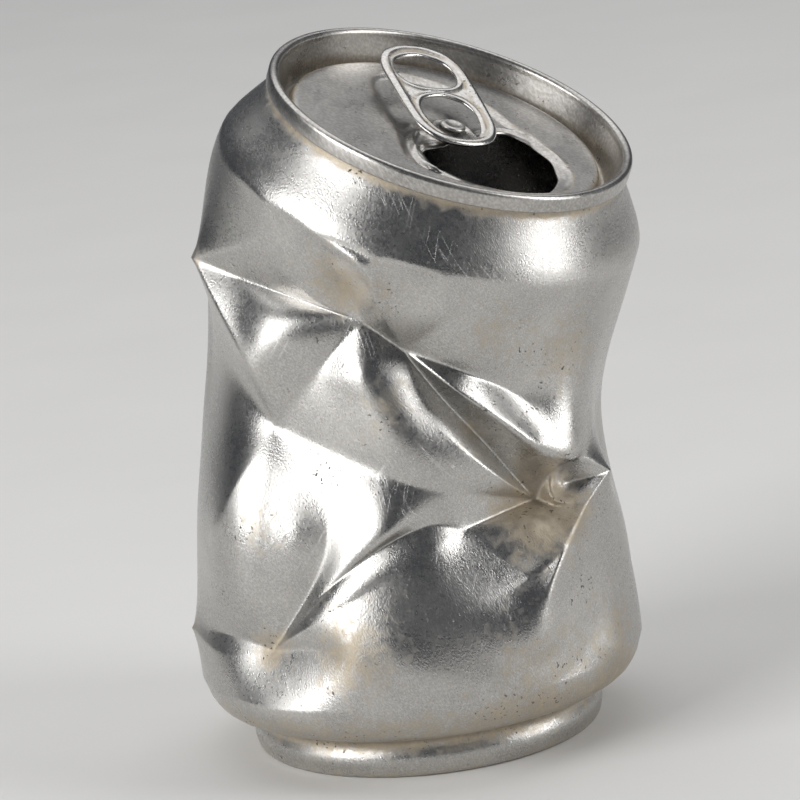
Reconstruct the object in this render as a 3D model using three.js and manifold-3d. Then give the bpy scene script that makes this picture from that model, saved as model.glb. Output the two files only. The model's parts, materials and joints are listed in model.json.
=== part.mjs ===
// A crushed 330 ml aluminium drink can, opened, with its stay-on tab.
// Four pieces: the drawn body, the stamped end seamed onto it, the folded tab
// on the end's rivet, and the ring of sealing compound inside the seam.
// Millimetres, +Z up, the front of the can faces -Y.

import * as THREE from 'three';
import { mergeVertices } from 'three/addons/utils/BufferGeometryUtils.js';
import Module from 'manifold-3d';

const wasm = await Module();
wasm.setup();

// ---------------------------------------------------------------- driving dimensions

const BODY_SHEET = 0.2;         // metal of the drawn body
const END_SHEET = 0.24;         // metal of the end
const TAB_SHEET = 0.3;          // metal of the tab
const WALL_RADIUS = 32.7;       // body where the crushed wall begins, above the base
const WALL_START = 12;          // height of that ring above the floor
const SHOULDER_RADIUS = 31.5;   // body where the crushed wall meets the neck
const SHOULDER_DEPTH = 12.2;     // shoulder ring below the rim, along the end's axis
const STAND_INNER = 23.4;       // flat of the stand ring, inner and outer radius
const STAND_OUTER = 24.9;
const DOME_HEIGHT = 9.6;        // underside of the base dome above the floor, at its centre
const DOME_EDGE = 20.6;         // radius where the dome turns down into the stand ring
const SEAM_RADIUS = 27.1;       // outside of the double seam
const SEAM_HEIGHT = 2.6;
const PANEL_RADIUS = 22.3;      // flat centre panel of the end
const PANEL_DEPTH = 3.7;        // panel's upper face below the rim
const GROOVE_DEPTH = 5.9;       // bottom of the countersink groove below the rim
const RIVET = [0.8, 0.3];       // rivet centre on the end, from the end's centre
const RIVET_RADIUS = 1.3;
const BUTTON_RADIUS = 1.85;
const TAB_LENGTH = 24.6;
const TAB_LIFT = 9.5;           // degrees that the tab is raised off the panel
const TAB_TURN = 21;            // degrees that the tab is turned on its rivet
const MOUTH_TURN = -43.5;        // direction of the mouth from the rivet, degrees
const MOUTH_REACH = 9.2;        // mouth centre from the rivet
const RING_POINTS = 20;         // fold points around each undamaged ring of the wall
const LEVELS = 1;               // times that the folded wall is subdivided

// The end sits on the crushed body leaning to the right and towards the front.
const END_CENTRE = new THREE.Vector3(12.75, -1.04, 91.65);
const END_LEAN = [0.347, -0.231];

// ---------------------------------------------------------------- frames

const UP = new THREE.Vector3(0, 0, 1);
const rad = THREE.MathUtils.degToRad;

function frameAt(origin, axis) {
  const right = new THREE.Vector3(1, 0, 0).addScaledVector(axis, -axis.x).normalize();
  const back = new THREE.Vector3().crossVectors(axis, right);
  return { origin, axis, right, back };
}

// A point at an angle from the front (positive to the right) and a radius about a frame's axis.
function aroundAxis(frame, angle, radius, height = 0) {
  return frame.origin.clone()
    .addScaledVector(frame.right, radius * Math.sin(angle))
    .addScaledVector(frame.back, -radius * Math.cos(angle))
    .addScaledVector(frame.axis, height);
}

const endAxis = new THREE.Vector3(...END_LEAN, Math.sqrt(1 - END_LEAN[0] ** 2 - END_LEAN[1] ** 2));
const endFrame = frameAt(END_CENTRE, endAxis);
const baseFrame = frameAt(new THREE.Vector3(), UP);

// The bent centre line of the wall, from the base ring to the leaning shoulder.
const lineStart = new THREE.Vector3(0, 0, WALL_START);
const lineEnd = END_CENTRE.clone().addScaledVector(endAxis, -SHOULDER_DEPTH);
const lineHandle = lineStart.distanceTo(lineEnd) / 3;
const centreLine = new THREE.CubicBezierCurve3(
  lineStart,
  lineStart.clone().addScaledVector(UP, lineHandle),
  lineEnd.clone().addScaledVector(endAxis, -lineHandle),
  lineEnd);

function wallFrame(height) {
  return frameAt(centreLine.getPoint(height), UP.clone().lerp(endAxis, height).normalize());
}

// ---------------------------------------------------------------- the fold points of the wall

// Each fold point: angle from the front in degrees (right is positive), height from the
// base ring (0) to the shoulder (1), and distance from the centre line.
const foldPoints = {
  // ridge from the upper left peak to the long diagonal fold
  leftPeak: [-80, 0.79, 33.2], ridgeLeft: [-66, 0.796, 28.3], ridgeMid: [-43, 0.813, 26.3],
  upperPinch: [-20, 0.818, 25.8], midPinch: [-5.5, 0.774, 25.3],
  // facets between that ridge and the shoulder
  browLeft: [-57, 0.9, 30], browMid: [-40, 0.863, 27.6], foldTop: [-32, 0.93, 29.3],
  foldUpper: [-24, 0.86, 27.2], bulgeLow: [-15.5, 0.925, 30.4], bulgeTop: [-22, 0.97, 31.6],
  darkTop: [-6, 0.93, 29.6], rightBrow: [17, 0.87, 30.6], rightBrowFar: [43.5, 0.815, 31],
  rightEdge: [88, 0.75, 30.6], rightLow: [66, 0.67, 29.2],
  // rolled ridge across the right front, and the hollow above it
  hollowA: [15, 0.755, 29.2], hollowB: [34, 0.685, 29.4],
  rollA: [10.5, 0.727, 31], rollB: [24.5, 0.648, 32], rollC: [35, 0.577, 32.2], rollD: [46, 0.58, 33],
  lipLow: [44, 0.482, 28.4], lipMid: [47, 0.521, 30.6], lipHigh: [52, 0.525, 32.2],
  tuckA: [48.5, 0.458, 28.8], tuckB: [55, 0.469, 31.5], rightPeak: [61, 0.48, 33.3],
  notch: [86, 0.5, 27.7],
  // deep valley under the roll
  valleyA: [8.5, 0.678, 26], valleyB: [21, 0.591, 25.9], valleyC: [33, 0.496, 26],
  edgeA: [2.5, 0.667, 27.6], edgeB: [14, 0.58, 28.6], edgeC: [28, 0.491, 28],
  rightPinch: [42.5, 0.42, 26.3],
  // diamond between the two diagonal folds
  diamondTop: [-15.5, 0.725, 29.2], diamondMid: [-8, 0.665, 30], diamondLow: [1.5, 0.588, 29.6],
  hollowLeft: [-31, 0.685, 27], leftPinch: [-46.5, 0.539, 26.3],
  // bulged facet at the upper left, and the tuck under it
  facetLeft: [-43, 0.768, 31], facetEdge: [-54, 0.683, 31], facetTip: [-48, 0.618, 29],
  tuckLeft: [-76, 0.61, 27.4], waistLeft: [-97, 0.61, 28.2],
  // left side of the lower half
  creaseLeft: [-53, 0.43, 31.4], creaseLow: [-65, 0.285, 32.4], waistLow: [-95, 0.427, 29.6],
  flankLow: [-92, 0.25, 31.5], lowerPeak: [-86, 0.089, 33.5], lowerLeft: [-52, 0.2, 31.4],
  lensLeft: [-38.5, 0.378, 31], lensMid: [-29, 0.37, 30.2], lensRight: [-17, 0.41, 31.7],
  lowerPinch: [-47, 0.104, 27.3], foldSideUp: [-66, 0.115, 30.2], foldSideLow: [-64, 0.08, 31.6],
  // large bright facet and the double fold under it
  facetTop: [-8, 0.503, 31], facetRight: [10, 0.478, 30], facetLow: [-9, 0.375, 31],
  foldA: [-20, 0.29, 29.5], foldB: [2, 0.394, 28.4], foldPinch: [14, 0.382, 27.8],
  ridgeA: [-29, 0.184, 29.5], ridgeB: [-14, 0.259, 31], ridgeC: [2.5, 0.345, 30.6],
  bellyLeft: [-13, 0.143, 32.5], bellyMid: [7.5, 0.226, 32.5], dimple: [-21, 0.12, 31.9],
  // right side of the lower half
  shadeA: [26, 0.316, 29.3], shadeB: [36, 0.243, 31.6], tanMid: [34, 0.405, 30], tanRight: [43, 0.43, 30.8],
  browRidgeA: [50, 0.425, 33], browRidgeB: [40.5, 0.342, 33.2], browRidgeC: [32.5, 0.22, 33.3],
  flankRightA: [66, 0.33, 32.6], flankRightB: [58, 0.16, 32.9], edgeRightA: [84, 0.34, 31],
  edgeRightB: [82, 0.18, 32.2], bellyLow: [28, 0.07, 33], bellyFront: [2, 0.09, 33], bellyRight: [60, 0.05, 33],
  // the back: flatter facets in three tiers
  backPeakA: [-112, 0.84, 32.6], backPinchA: [-140, 0.78, 27], backPeakB: [-168, 0.83, 32.8],
  backPinchB: [164, 0.72, 27.4], backPeakC: [138, 0.8, 32.4], backPinchC: [112, 0.73, 28],
  backWaistA: [-122, 0.55, 31.6], backDeepA: [-150, 0.52, 31.8], backDeepB: [-178, 0.5, 26.6],
  backMidA: [152, 0.5, 31.8], backMidB: [128, 0.47, 27.4], backMidC: [106, 0.5, 30.6],
  backLowA: [-118, 0.27, 32.6], backLowB: [-142, 0.24, 28.4], backLowC: [-166, 0.28, 32.6],
  backLowD: [168, 0.24, 29], backLowE: [142, 0.22, 32.8], backLowF: [112, 0.24, 31.8],
  backFootA: [-112, 0.1, 33], backFootB: [-142, 0.08, 32.9], backFootC: [180, 0.09, 33],
  backFootD: [146, 0.07, 33], backFootE: [112, 0.08, 33],
};

// Points where folds meet in a sharp tip.
const pinches = ['leftPeak', 'upperPinch', 'midPinch', 'leftPinch', 'rightPinch', 'rightPeak',
  'foldPinch', 'lowerPinch', 'lowerPeak', 'backPinchA', 'backPinchB', 'backDeepB', 'backMidB'];

// Folds: how many subdivisions each one stays sharp for, and the points it runs through.
const foldLines = [
  [3, 'leftPeak', 'ridgeLeft', 'ridgeMid', 'upperPinch'],
  [4, 'top-36', 'foldTop', 'foldUpper', 'upperPinch', 'midPinch'],
  [3, 'midPinch', 'valleyA', 'valleyB', 'valleyC', 'rightPinch'],
  [3, 'midPinch', 'edgeA', 'edgeB', 'edgeC', 'rightPinch'],
  [1, 'midPinch', 'rollA', 'rollB', 'rollC'],
  [3, 'rightPinch', 'lipLow', 'lipMid', 'lipHigh', 'rightPeak'],
  [3, 'rightPeak', 'tuckB', 'tuckA'],
  [2, 'leftPeak', 'facetEdge', 'facetTip', 'leftPinch'],
  [3, 'foldPinch', 'ridgeC', 'ridgeB', 'ridgeA', 'lowerPinch'],
  [3, 'rightPinch', 'foldPinch'],
  [2, 'foldPinch', 'foldB', 'foldA', 'lowerPinch'],
  [2, 'rightPeak', 'browRidgeA'],
  [2, 'lowerPeak', 'foldSideLow', 'lowerPinch'],
  [2, 'lowerPeak', 'foldSideUp', 'lowerPinch'],
  [1, 'upperPinch', 'browMid'],
  [2, 'backPeakA', 'backPinchA', 'backPeakB', 'backPinchB', 'backPeakC'],
  [1, 'backDeepA', 'backDeepB', 'backMidA', 'backMidB', 'backMidC'],
];

// ---------------------------------------------------------------- laying the wall out as triangles

function wallPoint(angle, height, radius) {
  const frame = wallFrame(height);
  const point = aroundAxis(frame, rad(angle), radius);
  return { position: point, centre: frame.origin, angle, height };
}

function gatherPoints() {
  const names = [];
  const points = [];
  const add = (name, angle, height, radius) => {
    names.push(name);
    points.push(wallPoint(angle, height, radius));
  };
  for (let i = 0; i < RING_POINTS; i++) {
    const angle = -180 + i * 360 / RING_POINTS;
    add('base' + angle, angle, 0, WALL_RADIUS);
    add('top' + angle, angle, 1, SHOULDER_RADIUS);
  }
  for (const [name, [angle, height, radius]] of Object.entries(foldPoints)) add(name, angle, height, radius);
  return { names, points };
}

const turn = 2 * Math.PI * WALL_RADIUS;   // size of the unrolled wall
const tall = 72;

// Delaunay triangles of the unrolled wall. The points are repeated a turn to each side, and
// the triangles whose middle lies in the middle turn are kept, so the sheet closes on itself.
function triangulate(points) {
  const flat = [];
  for (const shift of [-1, 0, 1]) {
    points.forEach((p, i) => flat.push({ x: (p.angle / 360 + shift) * turn, y: p.height * tall, i }));
  }
  const far = 1e5;
  const count = flat.length;
  flat.push({ x: -far, y: -far }, { x: far, y: -far }, { x: 0, y: far });
  let triangles = [circled([count, count + 1, count + 2])];
  for (let n = 0; n < count; n++) {
    const p = flat[n];
    const hit = triangles.filter(t => (p.x - t.x) ** 2 + (p.y - t.y) ** 2 < t.r2);
    const border = new Map();
    for (const { corners: [a, b, c] } of hit) {
      for (const [u, v] of [[a, b], [b, c], [c, a]]) {
        if (!border.delete(v + ' ' + u)) border.set(u + ' ' + v, [u, v]);
      }
    }
    const gone = new Set(hit);
    triangles = triangles.filter(t => !gone.has(t));
    for (const [u, v] of border.values()) triangles.push(circled([u, v, n]));
  }

  function circled(corners) {
    const [a, b, c] = corners.map(k => flat[k]);
    const bx = b.x - a.x;
    const by = b.y - a.y;
    const cx = c.x - a.x;
    const cy = c.y - a.y;
    const d = 2 * (bx * cy - by * cx);
    const x = (cy * (bx * bx + by * by) - by * (cx * cx + cy * cy)) / d;
    const y = (bx * (cx * cx + cy * cy) - cx * (bx * bx + by * by)) / d;
    return { corners, x: a.x + x, y: a.y + y, r2: x * x + y * y };
  }

  return triangles
    .filter(t => t.corners.every(k => k < count))
    .filter(t => {
      const middle = t.corners.reduce((sum, k) => sum + flat[k].x, 0) / 3 / turn;
      return middle >= -0.5 && middle < 0.5;
    })
    .filter(t => {
      const heights = t.corners.map(k => flat[k].y);
      return Math.max(...heights) > Math.min(...heights);
    })
    .map(t => t.corners.map(k => flat[k].i));
}

// Makes one edge of the sheet run straight from point a to point b, by turning the edges that
// cross it inside the four-sided figure of their two triangles.
function layFold(triangles, points, a, b) {
  const near = k => {
    const round = Math.round((points[k].angle - points[a].angle) / 360) * 360;
    return [(points[k].angle - round) / 360 * turn, points[k].height * tall];
  };
  const side = (p, q, r) => {
    const [P, Q, R] = [p, q, r].map(near);
    return (Q[0] - P[0]) * (R[1] - P[1]) - (Q[1] - P[1]) * (R[0] - P[0]);
  };
  const crosses = (p, q, r, s) => side(p, q, r) * side(p, q, s) < 0 && side(r, s, p) * side(r, s, q) < 0;
  for (let tries = 0; tries < 40; tries++) {
    const edges = edgesOf(triangles);
    if (edges.has(edgeKey(a, b))) return triangles;
    const turnable = [...edges.values()].filter(({ ends: [u, v], across }) =>
      ![u, v].includes(a) && ![u, v].includes(b) && crosses(a, b, u, v) && crosses(u, v, ...across));
    const { ends: [u, v], across: [w, x] } = turnable[tries % turnable.length];
    triangles = triangles.filter(t => !(t.includes(u) && t.includes(v)));
    triangles.push([u, x, w], [v, w, x]);
  }
  throw new Error(`no fold could be laid from point ${a} to point ${b}`);
}

// ---------------------------------------------------------------- Loop subdivision with folds

const edgeKey = (a, b) => (a < b ? a + ' ' + b : b + ' ' + a);

function edgesOf(triangles) {
  const edges = new Map();
  for (const [a, b, c] of triangles) {
    for (const [u, v, w] of [[a, b, c], [b, c, a], [c, a, b]]) {
      const key = edgeKey(u, v);
      if (!edges.has(key)) edges.set(key, { ends: [u, v], across: [] });
      edges.get(key).across.push(w);
    }
  }
  return edges;
}

// For each vertex: its neighbours, and those it reaches along a fold or a border.
function neighboursOf(sheet, edges) {
  const around = sheet.position.map(() => ({ all: [], sharp: [] }));
  for (const [key, { ends: [u, v], across }] of edges) {
    around[u].all.push(v);
    around[v].all.push(u);
    if (across.length === 1 || sheet.sharp.get(key) > 0) {
      around[u].sharp.push(v);
      around[v].sharp.push(u);
    }
  }
  return around;
}

function blend(own, weight, others, share) {
  const sum = own.clone().multiplyScalar(weight);
  for (const other of others) sum.addScaledVector(other, share);
  return sum;
}

// Weight of each neighbour in Loop's rule for a smooth vertex.
function loopShare(n) {
  const k = 3 / 8 + Math.cos(2 * Math.PI / n) / 4;
  return (5 / 8 - k * k) / n;
}

function moved(values, i, around, isPinch, creaseShare, smoothShare) {
  const { all, sharp } = around[i];
  if (isPinch || sharp.length > 2) return values[i].clone();
  if (sharp.length === 2) return blend(values[i], 1 - 2 * creaseShare, sharp.map(k => values[k]), creaseShare);
  const share = smoothShare(all.length);
  return blend(values[i], 1 - all.length * share, all.map(k => values[k]), share);
}

function subdivide(sheet) {
  const edges = edgesOf(sheet.triangles);
  const around = neighboursOf(sheet, edges);
  const next = { pinch: new Set(sheet.pinch), sharp: new Map(), triangles: [] };
  for (const field of ['position', 'centre']) {
    next[field] = sheet[field].map((_, i) =>
      moved(sheet[field], i, around, sheet.pinch.has(i), 1 / 8, loopShare));
  }
  const middle = new Map();
  for (const [key, { ends: [u, v], across }] of edges) {
    const sharpness = sheet.sharp.get(key) ?? 0;
    const straight = across.length === 1 || sharpness > 0;
    const index = next.position.length;
    middle.set(key, index);
    for (const field of ['position', 'centre']) {
      const ends = [sheet[field][u], sheet[field][v]];
      const point = blend(ends[0], straight ? 1 / 2 : 3 / 8, [ends[1]], straight ? 1 / 2 : 3 / 8);
      if (!straight) across.forEach(k => point.addScaledVector(sheet[field][k], 1 / 8));
      next[field].push(point);
    }
    if (sharpness > 1) {
      next.sharp.set(edgeKey(u, index), sharpness - 1);
      next.sharp.set(edgeKey(index, v), sharpness - 1);
    }
  }
  for (const [a, b, c] of sheet.triangles) {
    const ab = middle.get(edgeKey(a, b));
    const bc = middle.get(edgeKey(b, c));
    const ca = middle.get(edgeKey(c, a));
    next.triangles.push([a, ab, ca], [ab, b, bc], [ca, bc, c], [ab, bc, ca]);
  }
  return next;
}

// Where the subdivided surface ends up for each vertex.
function limitOf(sheet) {
  const around = neighboursOf(sheet, edgesOf(sheet.triangles));
  const limitShare = n => 1 / (n + 3 / (8 * loopShare(n)));
  return sheet.position.map((_, i) =>
    moved(sheet.position, i, around, sheet.pinch.has(i), 1 / 6, limitShare));
}

// Moves the control points out until the smooth sheet passes through the fold points.
function passThrough(sheet) {
  const wanted = sheet.position.map(p => p.clone());
  for (let round = 0; round < 3; round++) {
    const reached = limitOf(sheet);
    sheet.position.forEach((p, i) => p.add(wanted[i]).sub(reached[i]));
  }
}

function foldedWall() {
  const { names, points } = gatherPoints();
  const index = name => names.indexOf(name);
  let sheet = {
    position: points.map(p => p.position),
    centre: points.map(p => p.centre.clone()),
    triangles: triangulate(points),
    pinch: new Set(pinches.map(index)),
    sharp: new Map(),
  };
  for (const [sharpness, ...line] of foldLines) {
    for (let i = 1; i < line.length; i++) {
      const [from, to] = [index(line[i - 1]), index(line[i])];
      sheet.triangles = layFold(sheet.triangles, points, from, to);
      sheet.sharp.set(edgeKey(from, to), sharpness);
    }
  }
  passThrough(sheet);
  for (let level = 0; level < LEVELS; level++) sheet = subdivide(sheet);
  sheet.position = limitOf(sheet);
  return sheet;
}

// ---------------------------------------------------------------- mesh building

function geometryFrom(triangles) {
  const numbers = triangles.flat().flatMap(p => p.toArray());
  const geometry = new THREE.BufferGeometry();
  geometry.setAttribute('position', new THREE.Float32BufferAttribute(numbers, 3));
  return withNormals(geometry);
}

function withNormals(geometry) {
  geometry.deleteAttribute('normal');
  geometry.deleteAttribute('uv');
  const merged = mergeVertices(geometry, 1e-4);
  merged.computeVertexNormals();
  return merged;
}

// Triangles between rings of points, one ring after another, each closed on itself.
function strips(rings) {
  const triangles = [];
  for (let r = 1; r < rings.length; r++) {
    const low = rings[r - 1];
    const high = rings[r];
    for (let i = 0; i < low.length; i++) {
      const j = (i + 1) % low.length;
      triangles.push([low[i], low[j], high[j]], [low[i], high[j], high[i]]);
    }
  }
  return triangles;
}

function fan(centre, ring) {
  return ring.map((p, i) => [centre, p, ring[(i + 1) % ring.length]]);
}

const flipped = triangles => triangles.map(([a, b, c]) => [a, c, b]);

// The profile moved sideways by a distance, to the left of its direction of travel.
function besideProfile(profile, distance) {
  return profile.map(([r, h], i) => {
    const before = profile[Math.max(i - 1, 0)];
    const after = profile[Math.min(i + 1, profile.length - 1)];
    const length = Math.hypot(after[0] - before[0], after[1] - before[1]);
    return [r - distance * (after[1] - before[1]) / length, h + distance * (after[0] - before[0]) / length];
  });
}

function ringsAlong(profile, frame, angles) {
  return profile.map(([r, h]) => angles.map(angle => aroundAxis(frame, angle, r, h)));
}

function arc(centre, radius, from, to, steps) {
  return Array.from({ length: steps + 1 }, (_, i) => {
    const angle = rad(from + (to - from) * i / steps);
    return [centre[0] + radius * Math.cos(angle), centre[1] + radius * Math.sin(angle)];
  });
}

function toManifold(geometry) {
  const mesh = new wasm.Mesh({
    numProp: 3,
    vertProperties: new Float32Array(geometry.getAttribute('position').array),
    triVerts: new Uint32Array(geometry.index.array),
  });
  return new wasm.Manifold(mesh);
}

function fromManifold(solid) {
  const mesh = solid.getMesh();
  const geometry = new THREE.BufferGeometry();
  geometry.setAttribute('position', new THREE.BufferAttribute(new Float32Array(mesh.vertProperties), 3));
  geometry.setIndex(new THREE.BufferAttribute(new Uint32Array(mesh.triVerts), 1));
  geometry.computeVertexNormals();
  return geometry;
}

// ---------------------------------------------------------------- the drawn body

const wall = foldedWall();

// Border vertices of the folded wall in order of angle, near a frame's plane.
function borderRing(frame) {
  const onBorder = new Set();
  for (const { ends, across } of edgesOf(wall.triangles).values()) {
    if (across.length === 1) ends.forEach(k => onBorder.add(k));
  }
  const angleOf = k => {
    const offset = wall.position[k].clone().sub(frame.origin);
    return Math.atan2(offset.dot(frame.right), -offset.dot(frame.back));
  };
  return [...onBorder]
    .filter(k => Math.abs(wall.position[k].clone().sub(frame.origin).dot(frame.axis)) < 1)
    .map(k => ({ k, angle: angleOf(k) }))
    .sort((a, b) => a.angle - b.angle);
}

const inward = k => {
  const towards = wall.centre[k].clone().sub(wall.position[k]).normalize();
  return wall.position[k].clone().addScaledVector(towards, BODY_SHEET);
};

const lowRing = borderRing(frameAt(lineStart, UP));
const highRing = borderRing(frameAt(lineEnd, endAxis));
const columns = highRing.map(p => p.angle);

// Outside of the base, from the centre of the dome out to the start of the wall.
function baseProfile() {
  const drop = 4.9;
  const dome = Array.from({ length: 5 }, (_, i) => {
    const r = DOME_EDGE * (i + 1) / 5;
    return [r, DOME_HEIGHT - drop * (r / DOME_EDGE) ** 2];
  });
  return [
    ...dome,
    [21.9, 3.3], [22.7, 1.3], [STAND_INNER, 0], [STAND_OUTER, 0],
    [25.6, 0.7], [25.9, 2.1], [25.8, 3.4], [25.35, 4.6], [25.7, 5.5], [27, 6.1],
    [29.3, 6.9], [30.9, 8], [31.9, 9.6],
  ];
}

// Middle of the sheet from the shoulder up the neck and round the body hook.
function neckProfile() {
  return [
    [31.2, -11.2], [30.4, -9.6], [29, -7.5], [27.7, -5.6], [26.8, -4.1], [26.3, -3.2], [26.2, -2.5],
    [26.2, -1.3],
    ...arc([26.46, -0.95], 0.26, 180, 0, 4),
    [26.72, -1.85],
  ];
}

function canBody() {
  const lowAngles = lowRing.map(p => p.angle);
  const outerBase = baseProfile();
  const innerBase = besideProfile([...outerBase, [WALL_RADIUS, WALL_START]], BODY_SHEET).slice(0, -1);
  const dome = new THREE.Vector3(0, 0, DOME_HEIGHT);
  const lowOuter = [...ringsAlong(outerBase, baseFrame, lowAngles), lowRing.map(p => wall.position[p.k])];
  const lowInner = [...ringsAlong(innerBase, baseFrame, lowAngles), lowRing.map(p => inward(p.k))];

  const middle = neckProfile();
  const outerNeck = besideProfile(middle, -BODY_SHEET / 2);
  const innerNeck = besideProfile(middle, BODY_SHEET / 2);
  const neck = [
    highRing.map(p => wall.position[p.k]),
    ...ringsAlong(outerNeck, endFrame, columns),
    ...ringsAlong(innerNeck.reverse(), endFrame, columns),
    highRing.map(p => inward(p.k)),
  ];
  const wallTriangles = wall.triangles.map(t => t.map(k => wall.position[k]));
  const liningTriangles = wall.triangles.map(t => t.map(inward));
  return geometryFrom([
    ...flipped(fan(dome, lowOuter[0])),
    ...strips(lowOuter),
    ...wallTriangles,
    ...strips(neck),
    ...flipped(liningTriangles),
    ...flipped(strips(lowInner)),
    ...fan(dome.clone().addScaledVector(UP, BODY_SHEET), lowInner[0]),
  ]);
}

// ---------------------------------------------------------------- the end

// A point on the end: right, back and height above the rim's plane.
function onEnd(x, y, height) {
  return endFrame.origin.clone()
    .addScaledVector(endFrame.right, x)
    .addScaledVector(endFrame.back, y)
    .addScaledVector(endFrame.axis, height);
}

const mouthCentre = [
  RIVET[0] + MOUTH_REACH * Math.cos(rad(MOUTH_TURN)),
  RIVET[1] + MOUTH_REACH * Math.sin(rad(MOUTH_TURN)),
];

// Half of the mouth's outline: degrees from the direction away from the rivet, and radius.
// It swerves in to pass the rivet.
const mouthOutline = [[0, 9.3], [32, 8.9], [53, 8.9], [76, 9.8], [96, 10.4], [108, 11.4],
  [121, 12], [132, 11], [148, 8.6], [163, 7.1], [180, 6.6]];

function mouthRadius(angle) {
  const turned = Math.abs(THREE.MathUtils.euclideanModulo(angle - MOUTH_TURN + 180, 360) - 180);
  const next = Math.max(1, mouthOutline.findIndex(([a]) => a >= turned));
  const [a0, r0] = mouthOutline[next - 1];
  const [a1, r1] = mouthOutline[next];
  return THREE.MathUtils.mapLinear(turned, a0, a1, r0, r1);
}

// Upper face of the end outside the flat panel: countersink groove, chuck wall, over the top
// of the seam, down its outside and up again as the end hook.
function endProfile() {
  return [
    [22.9, -PANEL_DEPTH - 0.25], [23.25, -4.9], [23.5, -5.6], [24, -GROOVE_DEPTH], [24.5, -5.6],
    [24.75, -4.9], [25.3, -2.4], [25.62, -1],
    ...arc([26.36, -0.72], 0.74, 180, 0, 8),
    ...arc([26.72, -SEAM_HEIGHT + 0.38], 0.38, 0, -180, 6),
    [26.34, -1.35],
  ];
}

// Straight spokes run from the mouth's edge to the rim of the flat panel.
function panelSpokes(height) {
  const stations = [0, 0.12, 0.3, 0.5, 0.75, 1];
  return stations.map(s => columns.map(column => {
    const rim = [PANEL_RADIUS * Math.sin(column), -PANEL_RADIUS * Math.cos(column)];
    const angle = Math.atan2(rim[1] - mouthCentre[1], rim[0] - mouthCentre[0]);
    const radius = mouthRadius(THREE.MathUtils.radToDeg(angle));
    const edge = [mouthCentre[0] + radius * Math.cos(angle), mouthCentre[1] + radius * Math.sin(angle)];
    const bead = s === 0 ? -0.3 : 0;
    return onEnd(edge[0] + (rim[0] - edge[0]) * s, edge[1] + (rim[1] - edge[1]) * s, height + bead);
  }));
}

function endPlate() {
  const upper = endProfile();
  const lower = besideProfile([[PANEL_RADIUS, -PANEL_DEPTH], ...upper], -END_SHEET).slice(1);
  const rings = [
    ...panelSpokes(-PANEL_DEPTH),
    ...ringsAlong(upper, endFrame, columns),
    ...ringsAlong(lower.reverse(), endFrame, columns),
    ...panelSpokes(-PANEL_DEPTH - END_SHEET).reverse(),
  ];
  return geometryFrom(flipped(strips([...rings, rings[0]])));
}

// A lathe turned about the rivet's axis; the profile is given as radius and height.
function onRivet(profile) {
  const lathe = new THREE.LatheGeometry(profile.map(([r, h]) => new THREE.Vector2(r, h)), 24);
  lathe.rotateX(Math.PI / 2);
  const place = new THREE.Matrix4().makeBasis(endFrame.right, endFrame.back, endFrame.axis);
  place.setPosition(onEnd(...RIVET, 0));
  return withNormals(lathe.applyMatrix4(place));
}

function rivet() {
  return onRivet([
    [0, -PANEL_DEPTH - END_SHEET / 2], [RIVET_RADIUS, -PANEL_DEPTH - END_SHEET / 2], [RIVET_RADIUS, -2.8],
    [BUTTON_RADIUS, -2.75], [BUTTON_RADIUS + 0.05, -2.5], [BUTTON_RADIUS - 0.2, -2.3], [0, -2.25],
  ]);
}

// The torn panel, still joined at the mouth's left edge and bent down into the can.
const HINGE_TURN = 118;         // where it stays joined, degrees to the left of the mouth's line
const FLAP_LENGTH = 15;
const FLAP_BEND = 78;           // degrees
const FLAP_BEND_RADIUS = 2;

function tearPanel() {
  const hingeAngle = rad(MOUTH_TURN - HINGE_TURN);
  const reach = mouthRadius(MOUTH_TURN - HINGE_TURN) + 0.5;
  const towards = [-Math.cos(hingeAngle), -Math.sin(hingeAngle)];
  const along = [-towards[1], towards[0]];
  const root = [mouthCentre[0] - towards[0] * reach, mouthCentre[1] - towards[1] * reach];
  const section = (travel, side) => {
    const bendLength = rad(FLAP_BEND) * FLAP_BEND_RADIUS;
    const turned = Math.min(travel / bendLength, 1) * rad(FLAP_BEND);
    const straight = Math.max(travel - bendLength, 0);
    const radius = FLAP_BEND_RADIUS + side;
    return [
      radius * Math.sin(turned) + straight * Math.cos(rad(FLAP_BEND)),
      radius * Math.cos(turned) - FLAP_BEND_RADIUS - straight * Math.sin(rad(FLAP_BEND)),
    ];
  };
  const grid = side => Array.from({ length: 10 }, (_, i) => {
    const travel = i < 5 ? i * 0.68 : 2.72 + (i - 4) * (FLAP_LENGTH - 2.72) / 5;
    const share = travel / FLAP_LENGTH;
    const half = 3.6 + 4.4 * Math.sin(Math.PI * Math.min(share * 0.8, 1)) - 4.2 * share ** 3;
    const [out, down] = section(travel, side);
    return Array.from({ length: 7 }, (_, j) => {
      const across = half * (j - 3) / 3;
      return onEnd(
        root[0] + towards[0] * out + along[0] * across,
        root[1] + towards[1] * out + along[1] * across,
        -PANEL_DEPTH - END_SHEET - 0.28 + down);
    });
  });
  return closedPlate(grid(END_SHEET), grid(0));
}

// A closed thin plate between two grids of points of the same size.
function closedPlate(upper, lower) {
  const rows = upper.length;
  const triangles = [];
  for (let i = 1; i < rows; i++) {
    for (let j = 1; j < upper[i].length; j++) {
      const quad = g => [g[i - 1][j - 1], g[i][j - 1], g[i][j], g[i - 1][j]];
      const [a, b, c, d] = quad(upper);
      const [e, f, g, h] = quad(lower);
      triangles.push([a, b, c], [a, c, d], [e, g, f], [e, h, g]);
    }
  }
  const edgeOf = g => [
    ...g[0], ...g.slice(1).map(row => row.at(-1)), ...g.at(-1).slice(0, -1).reverse(),
    ...g.slice(1, -1).reverse().map(row => row[0]),
  ];
  return geometryFrom([...triangles, ...strips([edgeOf(upper), edgeOf(lower)])]);
}

function canEnd() {
  return fromManifold(toManifold(endPlate()).add(toManifold(rivet())).add(toManifold(tearPanel())));
}

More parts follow.
